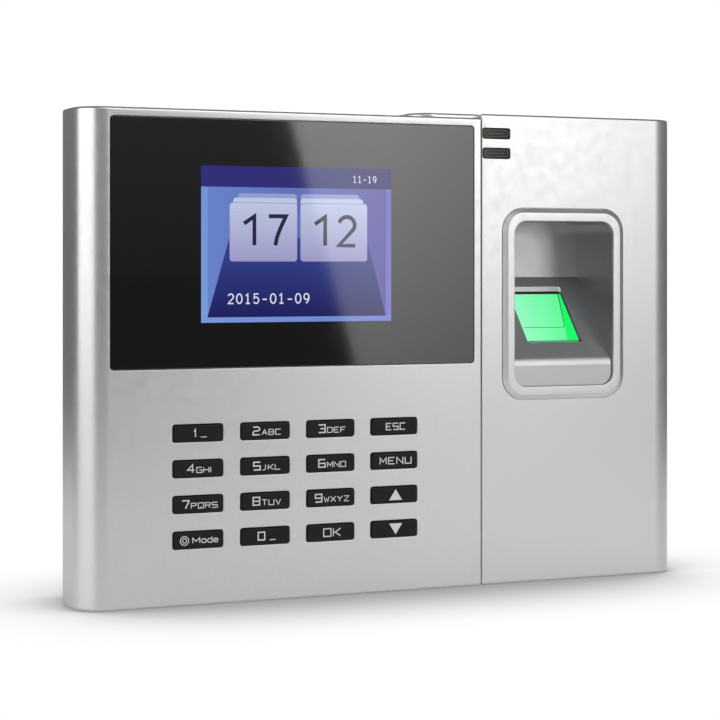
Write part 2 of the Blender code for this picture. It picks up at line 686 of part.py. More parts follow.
def make_rear_cover():
    """The rear shell with its plate pocket, cable bay, grille, posts and holes."""
    cover = rear_shell()
    back = REAR_DEPTH[1]
    past = back + 2
    seat = block(
        "pocket_backing", (POCKET_X[0] - WALL, POCKET_X[1] + WALL),
        (POCKET_DEPTH - WALL, back - 1), (POCKET_Z[0] - WALL, POCKET_Z[1] + WALL),
    )
    channel_seat = block(
        "channel_backing", (TONGUE_X[0] - 2 - WALL, TONGUE_X[1] + 2 + WALL),
        (POCKET_DEPTH - WALL, back - 1), (BAY_TOP + 0.5, POCKET_Z[0]),
    )
    bay_shell = block(
        "bay_shell", (BAY_X[0] - 2, BAY_X[1] + 2), (BAY_DEPTH - 2, back - 1), (0.6, BAY_TOP + 2)
    )
    join(cover, seat, channel_seat, bay_shell)
    for number, (x, z) in enumerate(CASE_SCREWS, 1):
        post = [(0, 17.0), (POST_RADIUS, 17.0), (POST_RADIUS, 0), (0, 0)]
        join(cover, turned(f"post_{number}", post, (x, REAR_RIM + 0.9, z), steps=12))
    pocket = block("plate_pocket", POCKET_X, (POCKET_DEPTH, past), POCKET_Z, 2.0)
    bay = block("cable_bay", BAY_X, (BAY_DEPTH, past), (-1, BAY_TOP))
    channel = block(
        "tongue_channel", (TONGUE_X[0] - 2, TONGUE_X[1] + 2), (PLATE_DEPTH[0] - 0.5, past),
        (BAY_TOP - 2, POCKET_Z[0] + 1),
    )
    jack_holes = boxes(
        "jack_holes",
        [
            (
                (x[0] - GAP, x[1] + GAP), (BOARD_DEPTH[1], depth[1] + GAP),
                (BAY_TOP - 0.6, BAY_TOP + 3),
            )
            for x, depth, _ in (NETWORK, POWER)
        ],
    )
    grille = boxes(
        "speaker_grille",
        [
            (
                around(SPEAKER[0], GRILLE_SLOT[0]), (31, past),
                around(SPEAKER[1] + offset, GRILLE_SLOT[1]),
            )
            for offset in GRILLE_OFFSETS
        ],
    )
    hook_slots = boxes(
        "hook_slots",
        [
            (around(x, HOOK_WIDTH + 1), (POCKET_DEPTH - 4, past), (HOOK_Z - 4, HOOK_Z + 1.8))
            for x in HOOK_X
        ],
    )
    lock_hole = turned(
        "lock_hole", [(0, 8), (SCREW_HOLE, 8), (SCREW_HOLE, 0), (0, 0)],
        (*LOCK, BAY_TOP - 2), along="Z", steps=12,
    )
    tamper_hole = turned(
        "tamper_hole", [(0, 8), (1.8, 8), (1.8, 0), (0, 0)],
        (TAMPER[0], POCKET_DEPTH - 5, TAMPER[1]), steps=12,
    )
    cut(cover, pocket, bay, channel, jack_holes, grille, hook_slots, lock_hole, tamper_hole)
    for number, (x, z) in enumerate(CASE_SCREWS, 1):
        bore = [(0, 21.5), (POST_BORE, 21.5), (POST_BORE, 11.0)]
        bore += [(SCREW_HOLE, 11.0), (SCREW_HOLE, 0), (0, 0)]
        cut(cover, turned(f"post_bore_{number}", bore, (x, REAR_RIM, z), steps=12))
    return finish(cover, "rear_plastic")


def make_hooks(plate):
    """Join the two bent hooks to the wall plate."""
    for x in HOOK_X:
        side = "left" if x < 0 else "right"
        across = around(x, HOOK_WIDTH)
        arm = block(
            f"hook_arm_{side}", across, (HOOK_REACH, PLATE_DEPTH[0] + 1),
            (HOOK_Z, HOOK_Z + HOOK_SHEET),
        )
        tip = block(
            f"hook_tip_{side}", across, (HOOK_REACH, HOOK_REACH + HOOK_SHEET),
            (HOOK_Z + 0.5, HOOK_Z + 5),
        )
        join(plate, arm, tip)


def make_tongue(plate):
    """Join the locking tongue to the wall plate and bore it for its screw."""
    low, high = PLATE_DEPTH[0] + 0.05, PLATE_DEPTH[1] - 0.05
    drop = block("tongue_drop", TONGUE_X, (low, high), (TONGUE_FOOT, 70))
    flange = block(
        "tongue_flange", TONGUE_X, (TONGUE_REACH, high), (TONGUE_FOOT, TONGUE_FOOT + HOOK_SHEET)
    )
    join(plate, drop, flange)
    hole = turned(
        "tongue_hole", [(0, 4), (1.75, 4), (1.75, 0), (0, 0)], (*LOCK, TONGUE_FOOT - 1),
        along="Z", steps=12,
    )
    cut(plate, hole)


def make_wall_plate():
    """The steel plate that the terminal hooks onto, and the screw that locks it."""
    plate = prism("wall_plate", [round_rect(0, PLATE_CENTRE_Z, *PLATE_SIZE, 4)], *PLATE_DEPTH)
    windows = [
        (around(x, HOOK_WIDTH + 1), (33, 37), (HOOK_Z + 2.4, HOOK_Z + 7.4)) for x in HOOK_X
    ]
    cut(plate, boxes("hook_windows", windows))
    for number, (x, z) in enumerate(PLATE_HOLES, 1):
        bore = [(0, 4), (PLATE_HOLE, 4), (PLATE_HOLE, 0), (0, 0)]
        cut(plate, turned(f"plate_hole_{number}", bore, (x, 33, z), steps=12))
    make_tongue(plate)
    make_hooks(plate)
    finish(plate, "zinc_steel")
    screw = [(0, 9.1), (SCREW_SHAFT, 9.1), (SCREW_SHAFT, 1.7), (2.7, 1.7), (2.7, 0), (0, 0)]
    finish(turned("lock_screw", screw, (*LOCK, TONGUE_FOOT - 2.0), along="Z"), "zinc_steel")


def make_case_screws():
    """Four screws that hold the rear cover to the front covers."""
    profile = [(0, 20.5), (2.8, 20.5), (2.8, 18.3), (SCREW_SHAFT, 18.3), (SCREW_SHAFT, 0), (0, 0)]
    for number, (x, z) in enumerate(CASE_SCREWS, 1):
        finish(turned(f"case_screw_{number}", profile, (x, 9.0, z), steps=12), "zinc_steel")


def make_main_board():
    """The main board with its chips, clock cell and buzzer."""
    finish(block("main_board", BOARD_X, BOARD_DEPTH, BOARD_Z), "board_green")
    finish(block("processor_chip", *PROCESSOR), "black_plastic")
    finish(block("memory_chip", *MEMORY), "black_plastic")
    cell_x, cell_z = COIN_CELL
    radius = COIN_CELL_RADIUS
    holder = block(
        "coin_cell_holder", around(cell_x, CELL_HOLDER), (ON_BOARD, 23.2),
        around(cell_z, CELL_HOLDER),
    )
    seat = [(0, 5), (radius + 0.4, 5), (radius + 0.4, 0), (0, 0)]
    cut(holder, turned("cell_seat", seat, (cell_x, 20.1, cell_z), steps=24))
    finish(holder, "black_plastic")
    cell = [(0, 3.2), (radius - 0.6, 3.2), (radius, 2.6), (radius, 0), (0, 0)]
    finish(turned("coin_cell", cell, (cell_x, 20.4, cell_z), steps=24), "zinc_steel")
    buzzer = [(0, 5), (BUZZER_RADIUS, 5), (BUZZER_RADIUS, 0), (0, 0)]
    finish(turned("buzzer", buzzer, BUZZER), "black_plastic")


def make_bay_sockets():
    """The network and power sockets that open down into the cable bay."""
    jack = block("ethernet_jack", *NETWORK)
    mouth = block("ethernet_mouth", *NETWORK_MOUTH)
    notch = block("latch_notch", *NETWORK_LATCH)
    finish(cut(jack, mouth, notch), "zinc_steel")
    power = block("dc_jack", *POWER)
    rings = [circle(*POWER_CENTRE, POWER_BARREL), circle(*POWER_CENTRE, POWER_PIN, 8)]
    barrel = prism("barrel_space", rings, JACK_FOOT - 1, 50, "Z")
    finish(cut(power, barrel), "black_plastic")


def make_usb_socket():
    """The socket for a memory stick, on the right side, with its small board."""
    shell = block("usb_shell", *USB)
    x, depth, z = ((low + USB_SHEET, high - USB_SHEET) for low, high in USB)
    cut(shell, block("usb_space", (x[0], x[1] + 2), depth, z))
    finish(shell, "zinc_steel")
    finish(block("usb_tongue", *USB_TONGUE), "black_plastic")
    finish(block("usb_board", *USB_BOARD), "board_green")


def make_speaker():
    """The speaker behind the grille and its foam ring."""
    x, z = SPEAKER
    profile = [(0, 5), (13, 5), (13, 3), (7, 3), (7, 0), (0, 0)]
    finish(turned("speaker", profile, (x, 26.9, z), steps=20), "black_plastic")
    ring = prism("speaker_gasket", [circle(x, z, 13, 20), circle(x, z, 11, 20)], 32.2, 32.9)
    finish(ring, "tape_black")


def make_tamper_switch():
    """The switch that the wall plate's removal releases, and its plunger."""
    x, z = TAMPER
    finish(
        block("tamper_switch", around(x, 6), (ON_BOARD, 26.5), around(z, 6)), "black_plastic"
    )
    profile = [(0, 6.1), (1.5, 6.1), (1.5, 1.9), (2.4, 1.9), (2.4, 0), (0, 0)]
    finish(turned("tamper_plunger", profile, (x, 28.0, z), steps=12), "rubber_grey")


def make_ribbons():
    """The flat cables from the display, keypad and sensor to the main board."""
    ribbon(
        "lcd_ribbon",
        [(7.75, 84), (7.75, 71), (9.5, 66.5), (14.8, 63.5), (16.5, 60), (16.5, 52)],
        -45, -30, "X",
    )
    ribbon(
        "keypad_ribbon",
        [(9.85, 38), (9.85, 50), (11.5, 54.5), (15.2, 58), (16.5, 62), (16.5, 70)],
        -12, -2, "X",
    )
    ribbon(
        "sensor_ribbon",
        [(41.8, 21.8), (40.3, 24.0), (36.5, 24.4), (32.5, 22.8), (29.5, 19.8), (27, 19.1), (22, 19.1)],
        66, 74, "Z",
    )


def build_terminal():
    """Model every piece."""
    make_left_cover()
    make_right_cover()
    make_rear_cover()
    make_wall_plate()
    make_case_screws()
    make_finger_bezel()
    make_finger_well()
    make_sensor()
    make_display()
    make_keypad()
    make_indicators()
    make_main_board()
    make_bay_sockets()
    make_usb_socket()
    make_speaker()
    make_tamper_switch()
    make_ribbons()


build_terminal()
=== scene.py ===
"""The looks of the fingerprint terminal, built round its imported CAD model.

Points are written in millimetres as (x, depth, z): x to the viewer's right,
depth behind the display cover's face and z up.
"""
import math

import bmesh
import bpy
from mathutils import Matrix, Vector


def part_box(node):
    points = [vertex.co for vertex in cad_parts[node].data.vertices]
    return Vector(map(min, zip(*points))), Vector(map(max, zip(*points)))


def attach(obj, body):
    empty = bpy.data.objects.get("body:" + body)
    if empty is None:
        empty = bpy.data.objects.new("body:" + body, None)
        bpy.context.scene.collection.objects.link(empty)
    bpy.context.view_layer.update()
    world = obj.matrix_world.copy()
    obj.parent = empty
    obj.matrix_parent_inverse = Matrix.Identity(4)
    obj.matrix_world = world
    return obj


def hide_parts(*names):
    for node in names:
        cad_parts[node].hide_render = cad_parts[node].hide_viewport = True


MM = 0.001
SHARP = math.radians(35)
BEVEL_ANGLE = math.radians(40)
CORNER_ANGLE = math.radians(50)

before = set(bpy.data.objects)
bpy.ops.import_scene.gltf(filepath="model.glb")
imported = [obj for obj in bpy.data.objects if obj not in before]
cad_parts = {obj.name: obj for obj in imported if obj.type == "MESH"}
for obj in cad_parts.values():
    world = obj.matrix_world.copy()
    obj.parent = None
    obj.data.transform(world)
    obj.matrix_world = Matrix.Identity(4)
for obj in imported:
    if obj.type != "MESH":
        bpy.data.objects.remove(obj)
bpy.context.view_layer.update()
FACE_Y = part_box("left_cover")[0].y


def place(x, depth, z):
    """A point in metres in the shared frame."""
    return Vector((x * MM, FACE_Y + depth * MM, z * MM))


def span(node):
    """A CAD node's spans along x, depth and z, in millimetres."""
    low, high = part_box(node)
    shift = (0, FACE_Y, 0)
    return [((low[i] - shift[i]) / MM, (high[i] - shift[i]) / MM) for i in range(3)]


def middle(pair):
    """The middle of a span."""
    return (pair[0] + pair[1]) / 2


def around(centre, size):
    """The span of a length about its middle."""
    return centre - size / 2, centre + size / 2


LEFT_X, LEFT_DEPTH, LEFT_Z = span("left_cover")
RIGHT_X, RIGHT_DEPTH, RIGHT_Z = span("right_cover")
WINDOW_X, WINDOW_DEPTH, WINDOW_Z = span("display_window")
BEZEL_X, BEZEL_DEPTH, BEZEL_Z = span("finger_bezel")
WELL_X, WELL_DEPTH, WELL_Z = span("finger_well")
REAR_DEPTH = span("rear_cover")[1]
PLATE_DEPTH = span("wall_plate")[1]
USB_X, USB_DEPTH, USB_Z = span("usb_shell")

KEYS = "1 2 3 esc 4 5 6 menu 7 8 9 up mode 0 ok down".split()
KEY_CAP = (14.3, 4.5)
KEY_CORNER = 0.75
KEY_ROOM = 0.2
ROLL = 8.0
EDGE = 0.8
PLATE = 3.0
WALL = 2.2
GAP = 0.3
UPRIGHT_EASE = 0.25
REBATE_DEPTH = 3.3
REBATE_ROLL = 7.0
REBATE_X = 27.2
LAP_X = RIGHT_X[0] + REBATE_ROLL
FINGER_X = middle(BEZEL_X)
FINGER_Z = middle(BEZEL_Z)
OPENING = (33.5, 48.8, 4.0)
LIP_DEPTH = 0.7
LIP_RADIUS = 4.0
SLOPE = math.radians(50)
SLOPE_FOOT = (2.5, 67.0)
WELL_BACK = 21.5
SENSOR = (17.6, 19.0)
SENSOR_ALONG = 14.5
SENSOR_RECESS = 0.4
INDICATORS = ("indicator_pipe_upper", "indicator_pipe_lower")
CASE_SCREWS = ("case_screw_1", "case_screw_2", "case_screw_3", "case_screw_4")


# ---------------------------------------------------------------- outlines


def arc(cx, cy, radius, start, stop, steps):
    """Points on a circle between two angles in degrees."""
    angles = [math.radians(start + (stop - start) * i / steps) for i in range(steps + 1)]
    return [(cx + radius * math.cos(a), cy + radius * math.sin(a)) for a in angles]


def circle(cx, cy, radius, steps=48):
    """A closed circle's points."""
    return arc(cx, cy, radius, 0, 360, steps)[:-1]


def round_rect(cx, cy, width, height, radius, steps=8):
    """A closed rectangle's points, with round corners."""
    points = []
    for side_x, side_y, start in ((1, 1, 0), (-1, 1, 90), (-1, -1, 180), (1, -1, 270)):
        corner_x = cx + side_x * (width / 2 - radius)
        corner_y = cy + side_y * (height / 2 - radius)
        points += arc(corner_x, corner_y, radius, start, start + 90, steps)
    return points


def rounded(across, up, radius, grow=0.0, steps=8):
    """A round rectangle's points from its two spans, grown all round."""
    width = across[1] - across[0] + 2 * grow
    height = up[1] - up[0] + 2 * grow
    return round_rect(middle(across), middle(up), width, height, radius, steps)


def rectangle(across, up):
    """A closed rectangle's four points from its two spans."""
    return [(across[0], up[0]), (across[1], up[0]), (across[1], up[1]), (across[0], up[1])]


# ------------------------------------------------------------------ solids


def wrap(name, work):
    """Turn a bmesh into a smooth-shaded object."""
    mesh = bpy.data.meshes.new(name)
    work.to_mesh(mesh)
    work.free()
    mesh.shade_smooth()
    mesh.set_sharp_from_angle(angle=SHARP)
    piece = bpy.data.objects.new(name, mesh)
    bpy.context.scene.collection.objects.link(piece)
    return piece


def make_piece(name, work):
    """Clean a bmesh and turn it into an object."""
    bmesh.ops.remove_doubles(work, verts=work.verts, dist=1e-7)
    bmesh.ops.recalc_face_normals(work, faces=work.faces)
    return wrap(name, work)


def skin(name, rings, ringed=False):
    """Faces between outlines of equal length, whose two ends are capped or meet."""
    work = bmesh.new()
    loops = [[work.verts.new(point) for point in ring] for ring in rings]
    if ringed:
        loops.append(loops[0])
    for ring, following in zip(loops, loops[1:]):
        for i in range(len(ring)):
            work.faces.new((ring[i - 1], ring[i], following[i], following[i - 1]))
    if not ringed:
        work.faces.new(loops[0])
        work.faces.new(loops[-1])
    return make_piece(name, work)


def lift(outline, level, along):
    """Outline points in the plane across one axis, at a level on that axis."""
    if along == "X":
        return [place(level, u, v) for u, v in outline]
    if along == "Z":
        return [place(u, v, level) for u, v in outline]
    return [place(u, level, v) for u, v in outline]


def prism(name, outline, ends, along="Y"):
    """An outline given a thickness along one axis."""
    return skin(name, [lift(outline, level, along) for level in ends])


def block(name, x, depth, z, corner=0.0):
    """A box whose corners are rounded about the depth axis."""
    outline = rounded(x, z, corner, 0, 6) if corner else rectangle(x, z)
    return prism(name, outline, depth)


def stack(name, levels, outline, along="Y"):
    """A solid through an outline, from pairs of a level and how much it grows there."""
    return skin(name, [lift(outline(grow), level, along) for level, grow in levels])


def flared(name, across, up, corner, depths, flare, room=GAP / 2):
    """A cutter for a rounded opening with room round a part and a small chamfer at its rim."""
    front, back = depths
    levels = [(front - 1, flare * 2), (front - 0.01, flare), (front + flare * 0.4, flare * 0.3)]
    levels += [(front + flare, 0), (back, 0)]
    return stack(name, levels, lambda grow: rounded(across, up, corner + grow, room + grow))


def turned(name, profile, centre, along="Y", steps=40):
    """A profile of radius and height turned about an axis through a centre."""
    x, depth, z = centre
    hub, base = ((x, z), depth) if along == "Y" else ((x, depth), z)
    rings = [
        lift(circle(*hub, max(radius, 0.001), steps), base + height, along)
        for radius, height in profile
    ]
    return skin(name, rings)


def modify(piece, kind, **settings):
    """Add a modifier with its settings."""
    modifier = piece.modifiers.new(kind.lower(), kind)
    for key, value in settings.items():
        setattr(modifier, key, value)
    return piece


def soften(piece, width, segments):
    """Round a piece's sharp edges."""
    return modify(
        piece, "BEVEL", width=width * MM, segments=segments, limit_method="ANGLE",
        angle_limit=BEVEL_ANGLE, use_clamp_overlap=False,
    )


def bevel_edges(work, edges, width, segments):
    """Round some edges of a bmesh."""
    bmesh.ops.bevel(
        work, geom=edges, offset=width * MM, offset_type="OFFSET", segments=segments,
        profile=0.5, affect="EDGES", clamp_overlap=False,
    )


def round_ends(piece):
    """Fillet the edges round the two ends of an upright prism, and ease its upright edges."""
    work = bmesh.new()
    work.from_mesh(piece.data)
    heights = [vert.co.z for vert in work.verts]
    ends = (min(heights), max(heights))
    rims = [
        edge for edge in work.edges
        if any(all(abs(vert.co.z - end) < 1e-7 for vert in edge.verts) for end in ends)
    ]
    bevel_edges(work, rims, EDGE, 5)
    corners = [
        edge for edge in work.edges
        if len(edge.link_faces) == 2 and edge.calc_face_angle() > CORNER_ANGLE
        and abs(edge.verts[0].co.z - edge.verts[1].co.z) > 0.1
    ]
    bevel_edges(work, corners, UPRIGHT_EASE, 3)
    work.to_mesh(piece.data)
    work.free()
    return piece


def boolean(piece, operation, others):
    """Cut or join a piece with other shapes, which stay until it is settled."""
    for other in others:
        modify(piece, "BOOLEAN", operation=operation, solver="EXACT", object=other)
        other.hide_render = True
    return piece


def cut(piece, *others):
    """Take shapes out of a piece."""
    return boolean(piece, "DIFFERENCE", others)


def join(piece, *others):
    """Make shapes part of a piece."""
    return boolean(piece, "UNION", others)


def freeze(piece):
    """Apply a piece's modifiers."""
    graph = bpy.context.evaluated_depsgraph_get()
    mesh = bpy.data.meshes.new_from_object(piece.evaluated_get(graph))
    piece.modifiers.clear()
    piece.data = mesh
    return mesh


def settle(piece):
    """Apply a piece's modifiers, remove what it used, and shade it smooth."""
    tools = [m.object for m in piece.modifiers if m.type == "BOOLEAN"]
    mesh = freeze(piece)
    mesh.shade_smooth()
    mesh.set_sharp_from_angle(angle=SHARP)
    for tool in tools:
        bpy.data.objects.remove(tool)
    return piece


def gather(name, pieces):
    """Make one object of several."""
    work = bmesh.new()
    for piece in pieces:
        work.from_mesh(piece.data)
        bpy.data.objects.remove(piece)
    return wrap(name, work)


def dress(piece, slot, replaces=(), body="root", material=None):
    """Even out a piece's shading, and give it its material, taken by its slot unless one is given,
    and its body.
    """
    modify(piece, "WEIGHTED_NORMAL", keep_sharp=True, weight=80)
    mesh = freeze(piece)
    mesh.materials.clear()
    mesh.materials.append(material or MATERIALS[slot])
    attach(piece, body)
    if replaces:
        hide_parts(*replaces)
    return piece


# --------------------------------------------------------------- materials


def put(tree, kind, inputs=(), **settings):
    """Add a node whose inputs are constants or the outputs of other nodes."""
    node = tree.nodes.new("ShaderNode" + kind)
    for key, value in settings.items():
        setattr(node, key, value)
    for socket, value in dict(inputs).items():
        if isinstance(value, bpy.types.NodeSocket):
            tree.links.new(value, node.inputs[socket])
        else:
            node.inputs[socket].default_value = value
    return node


def remap(tree, source, start, result, kind="LINEAR"):
    """Map a value from one range to another, within its ends."""
    inputs = {
        "Value": source, "From Min": start[0], "From Max": start[1],
        "To Min": result[0], "To Max": result[1],
    }
    return put(tree, "MapRange", inputs, interpolation_type=kind).outputs["Result"]


class Shader:
    """A Principled material with short ways to add its procedural detail."""

    def __init__(self, name, colour, roughness, metallic=0.0, **sockets):
        """Start from a plain colour, with further constants by socket name."""
        self.material = bpy.data.materials.new(name)
        self.material.use_nodes = True
        self.tree = self.material.node_tree
        self.shader = self.tree.nodes["Principled BSDF"]
        self.colour = colour
        self.set("Base Color", (*colour, 1))
        self.set("Roughness", roughness)
        self.set("Metallic", metallic)
        for socket, value in sockets.items():
            self.set(socket.replace("_", " "), value)
        self.coordinates = put(self.tree, "TexCoord").outputs["Object"]

    def set(self, socket, value):
        """Set a constant on the shader's own socket."""
        self.shader.inputs[socket].default_value = value

    def drive(self, socket, output):
        """Join an output to the shader's own socket."""
        self.tree.links.new(output, self.shader.inputs[socket])

    def noise(self, size, detail=2.0, stretch=None):
        """Noise whose features are about size millimetres across."""
        source = self.coordinates
        if stretch:
            source = put(self.tree, "Mapping", {"Vector": source, "Scale": stretch}).outputs["Vector"]
        inputs = {"Vector": source, "Scale": 1 / (size * MM), "Detail": detail}
        return put(self.tree, "TexNoise", inputs).outputs["Fac"]

    def spread(self, fac, low, high):
        """Map a texture's middle range to two values."""
        return remap(self.tree, fac, (0.3, 0.7), (low, high))

    def ramp(self, fac, stops):
        """Colours along a factor."""
        node = put(self.tree, "ValToRGB", {"Fac": fac})
        elements = node.color_ramp.elements
        while len(elements) < len(stops):
            elements.new(0.5)
        for element, (position, colour) in zip(elements, stops):
            element.position = position
            element.color = (*colour, 1)
        return node.outputs["Color"]

    def mottle(self, size, amount, stretch=None):
        """Vary the colour a little, lighter and darker."""
        dark = [c * (1 - amount) for c in self.colour]
        light = [min(c * (1 + amount), 1) for c in self.colour]
        stops = [(0.3, dark), (0.7, light)]
        self.drive("Base Color", self.ramp(self.noise(size, 4.0, stretch), stops))
        return self

    def wear(self, size, low, high, stretch=None):
        """Vary the roughness between two values."""
        self.drive("Roughness", self.spread(self.noise(size, 3.0, stretch), low, high))
        return self

    def grain(self, size, height, stretch=None, strength=1.0):
        """A fine bump, height in millimetres."""
        inputs = {
            "Height": self.noise(size, 2.0, stretch), "Strength": strength, "Distance": height * MM,
        }
        self.drive("Normal", put(self.tree, "Bump", inputs).outputs["Normal"])
        return self


def silver_paint():
    """Satin metallic silver paint over moulded plastic, with fine flake."""
    paint = Shader("silver_paint", (0.60, 0.604, 0.614), 0.31, 0.85)
    return paint.mottle(0.22, 0.05).wear(3.0, 0.28, 0.34).grain(0.25, 0.004, strength=0.5).material


def reader_grey():
    """The finger recess's satin grey paint."""
    paint = Shader("reader_grey", (0.47, 0.475, 0.482), 0.38, 0.92)
    return paint.mottle(0.22, 0.03).wear(2.5, 0.35, 0.42).grain(0.28, 0.005, strength=0.5).material


def spark_plastic(name, colour, roughness, size=0.35, height=0.03):
    """Moulded plastic with an eroded spark texture."""
    plastic = Shader(name, colour, roughness)
    plastic.mottle(1.2, 0.12).wear(0.8, roughness - 0.08, roughness + 0.08)
    return plastic.grain(size, height).material


def smooth_plastic(name, colour, roughness, **sockets):
    """Moulded plastic with only a faint flow pattern."""
    plastic = Shader(name, colour, roughness, **sockets)
    plastic.mottle(4.0, 0.08).wear(6.0, roughness * 0.85, roughness * 1.2)
    return plastic.grain(0.6, 0.002, strength=0.4).material


def brushed_metal(name, colour, roughness, stretch=(1, 1, 30)):
    """Metal with fine lines from brushing or rolling."""
    metal = Shader(name, colour, roughness, 1.0)
    metal.mottle(1.5, 0.12, stretch).wear(0.8, roughness * 0.75, roughness * 1.3, stretch)
    return metal.grain(0.3, 0.006, stretch).material


def board_green():
    """Solder mask with faint lighter tracks under it."""
    board = Shader("board_green", (0.015, 0.17, 0.07), 0.3, 0.0, Coat_Weight=0.3)
    tracks = put(board.tree, "TexBrick", {
        "Vector": board.coordinates, "Scale": 260.0, "Mortar Size": 0.03,
        "Color1": (0.012, 0.14, 0.055, 1), "Color2": (0.018, 0.17, 0.07, 1),
        "Mortar": (0.04, 0.33, 0.13, 1),
    })
    board.drive("Base Color", tracks.outputs["Color"])
    return board.wear(2.0, 0.24, 0.38).grain(0.5, 0.01).material


def glow(name, stops, axis, ends, strength, roughness, **sockets):
    """A lit surface whose colour runs along one axis between two millimetre marks."""
    lit = Shader(name, (0.01, 0.01, 0.01), roughness, **sockets)
    split = put(lit.tree, "SeparateXYZ", {"Vector": lit.coordinates})
    run = remap(lit.tree, split.outputs[axis], (ends[0] * MM, ends[1] * MM), (0, 1))
    lit.drive("Emission Color", lit.ramp(run, stops))
    lit.set("Emission Strength", strength)
    return lit


def srgb(red, green, blue):
    """A display colour as linear light."""
    def linear(value):
        """One channel's light."""
        value /= 255
        return value / 12.92 if value <= 0.04045 else ((value + 0.055) / 1.055) ** 2.4
    return tuple(linear(value) for value in (red, green, blue))


def white_ink():
    """Matt white print with slight unevenness."""
    ink = Shader("white_ink", srgb(206, 206, 208), 0.5)
    return ink.mottle(0.3, 0.05).wear(1.0, 0.42, 0.58).material


MATERIALS = {
    "silver_paint": silver_paint(),
    "reader_grey": reader_grey(),
    "rear_plastic": spark_plastic("rear_plastic", (0.085, 0.087, 0.093), 0.55),
    "plate_steel": brushed_metal("plate_steel", (0.56, 0.57, 0.58), 0.34, (30, 1, 1)),
    "zinc_steel": brushed_metal("zinc_steel", (0.62, 0.63, 0.65), 0.3),
    "window_black": smooth_plastic(
        "window_black", (0.006, 0.006, 0.007), 0.045, Specular_IOR_Level=0.66
    ),
    # Black tape, also used for the black strip that paints the shadow at the top of the sensor glass.
    "tape_black": spark_plastic("tape_black", (0.015, 0.015, 0.015), 0.85, 0.2, 0.02),
    "lcd_frame": brushed_metal("lcd_frame", (0.68, 0.68, 0.7), 0.25, (1, 30, 1)),
    "diffuser": smooth_plastic("diffuser", (0.8, 0.8, 0.8), 0.5),
    "mat_rubber": spark_plastic("mat_rubber", (0.16, 0.16, 0.17), 0.75, 0.5, 0.01),
    "board_green": board_green(),
    "black_plastic": spark_plastic("black_plastic", (0.02, 0.02, 0.021), 0.45, 0.4, 0.012),
    "speaker_black": spark_plastic("speaker_black", (0.018, 0.018, 0.018), 0.8, 0.6, 0.05),
    "jack_steel": brushed_metal("jack_steel", (0.6, 0.6, 0.61), 0.28, (1, 1, 30)),
    "key_black": smooth_plastic("key_black", (0.005, 0.005, 0.006), 0.42, Specular_IOR_Level=0.2),
    "lens_glass": smooth_plastic("lens_glass", (0.04, 0.06, 0.05), 0.06),
    "ribbon": brushed_metal("ribbon", (0.62, 0.36, 0.12), 0.35, (30, 1, 1)),
    "led_green": smooth_plastic("led_green", (0.05, 0.7, 0.2), 0.3),
}
WHITE_INK = white_ink()
GOLD = brushed_metal("gold_plate", (0.83, 0.6, 0.22), 0.25, (1, 1, 12))
PALE_LINE = smooth_plastic("pale_line", srgb(128, 122, 114), 0.5, Specular_IOR_Level=0.1)

# The CAD nodes that stay, by the material they get.
CAD_SLOTS = {
    "tape_black": ("window_tape",),
    "lcd_frame": ("lcd_frame",),
    "diffuser": ("lcd_backlight",),
    "mat_rubber": ("keypad_mat",),
    "board_green": (
        "keypad_board", "sensor_board", "indicator_board", "main_board", "usb_board",
    ),
    "black_plastic": (
        "sensor_housing", "processor_chip", "memory_chip", "coin_cell_holder", "buzzer",
        "usb_tongue", "tamper_switch",
    ),
    "lens_glass": ("sensor_lens",),
    "led_green": ("sensor_light_bar",),
    "zinc_steel": ("coin_cell",),
    "ribbon": ("lcd_ribbon", "keypad_ribbon", "sensor_ribbon"),
    "speaker_black": ("speaker", "speaker_gasket"),
}


# ------------------------------------------------------------ front covers


def key_place(name):
    """The middle of a key, in x and z."""
    x, _, z = span(f"key_{name}")
    return middle(x), middle(z)


def make_left_shell():
    """The display cover: rolled outer edge, window recess and key holes."""
    low_x, high_x = LEFT_X
    rim = LEFT_DEPTH[1]
    height = LEFT_Z[1]
    roll = arc(low_x + ROLL, ROLL, ROLL, 180, 270, 28)
    lap = arc(LAP_X, REBATE_DEPTH + REBATE_ROLL, REBATE_ROLL + GAP, 270, 180, 20)
    outer = [(low_x, rim)] + roll + [(high_x, 0), (high_x, PLATE)] + lap
    outer.append((RIGHT_X[0] - GAP, rim))
    shell = round_ends(prism("left_shell", outer, (0, height), "Z"))
    inner_x = low_x + WALL
    inner_roll = ROLL - PLATE
    inner = [(inner_x, rim + 1)] + arc(inner_x + inner_roll, ROLL, inner_roll, 180, 270, 16)
    inner += [(LAP_X - 0.5, PLATE), (LAP_X - 0.5, rim + 1)]
    cut(shell, prism("left_hollow", inner, (WALL, height - WALL), "Z"))
    cut(shell, flared("window_recess", WINDOW_X, WINDOW_Z, 1.1, (0, 2.0), 0.22))
    for name in KEYS:
        x, z = key_place(name)
        across, up = around(x, KEY_CAP[0]), around(z, KEY_CAP[1])
        cut(shell, flared(f"hole_{name}", across, up, KEY_CORNER, (0, 4.0), 0.2, KEY_ROOM))
    return dress(settle(shell), "silver_paint", ("left_cover",))


def right_outline(inset):
    """The reader cover's section, or its inside when it is inset by the wall."""
    far_x = RIGHT_X[1]
    rim = RIGHT_DEPTH[1]
    face = RIGHT_DEPTH[0]
    near = arc(LAP_X, REBATE_DEPTH + REBATE_ROLL, REBATE_ROLL - inset, 180, 270, 20)
    far = arc(far_x - ROLL, face + ROLL, ROLL - inset, 270, 360, 28)
    start = [(RIGHT_X[0] + inset, rim + (1 if inset else 0))]
    step = [(REBATE_X + inset, REBATE_DEPTH + inset), (REBATE_X + inset, face + inset)]
    return start + near + step + far + [(far_x - inset, rim + (1 if inset else 0))]


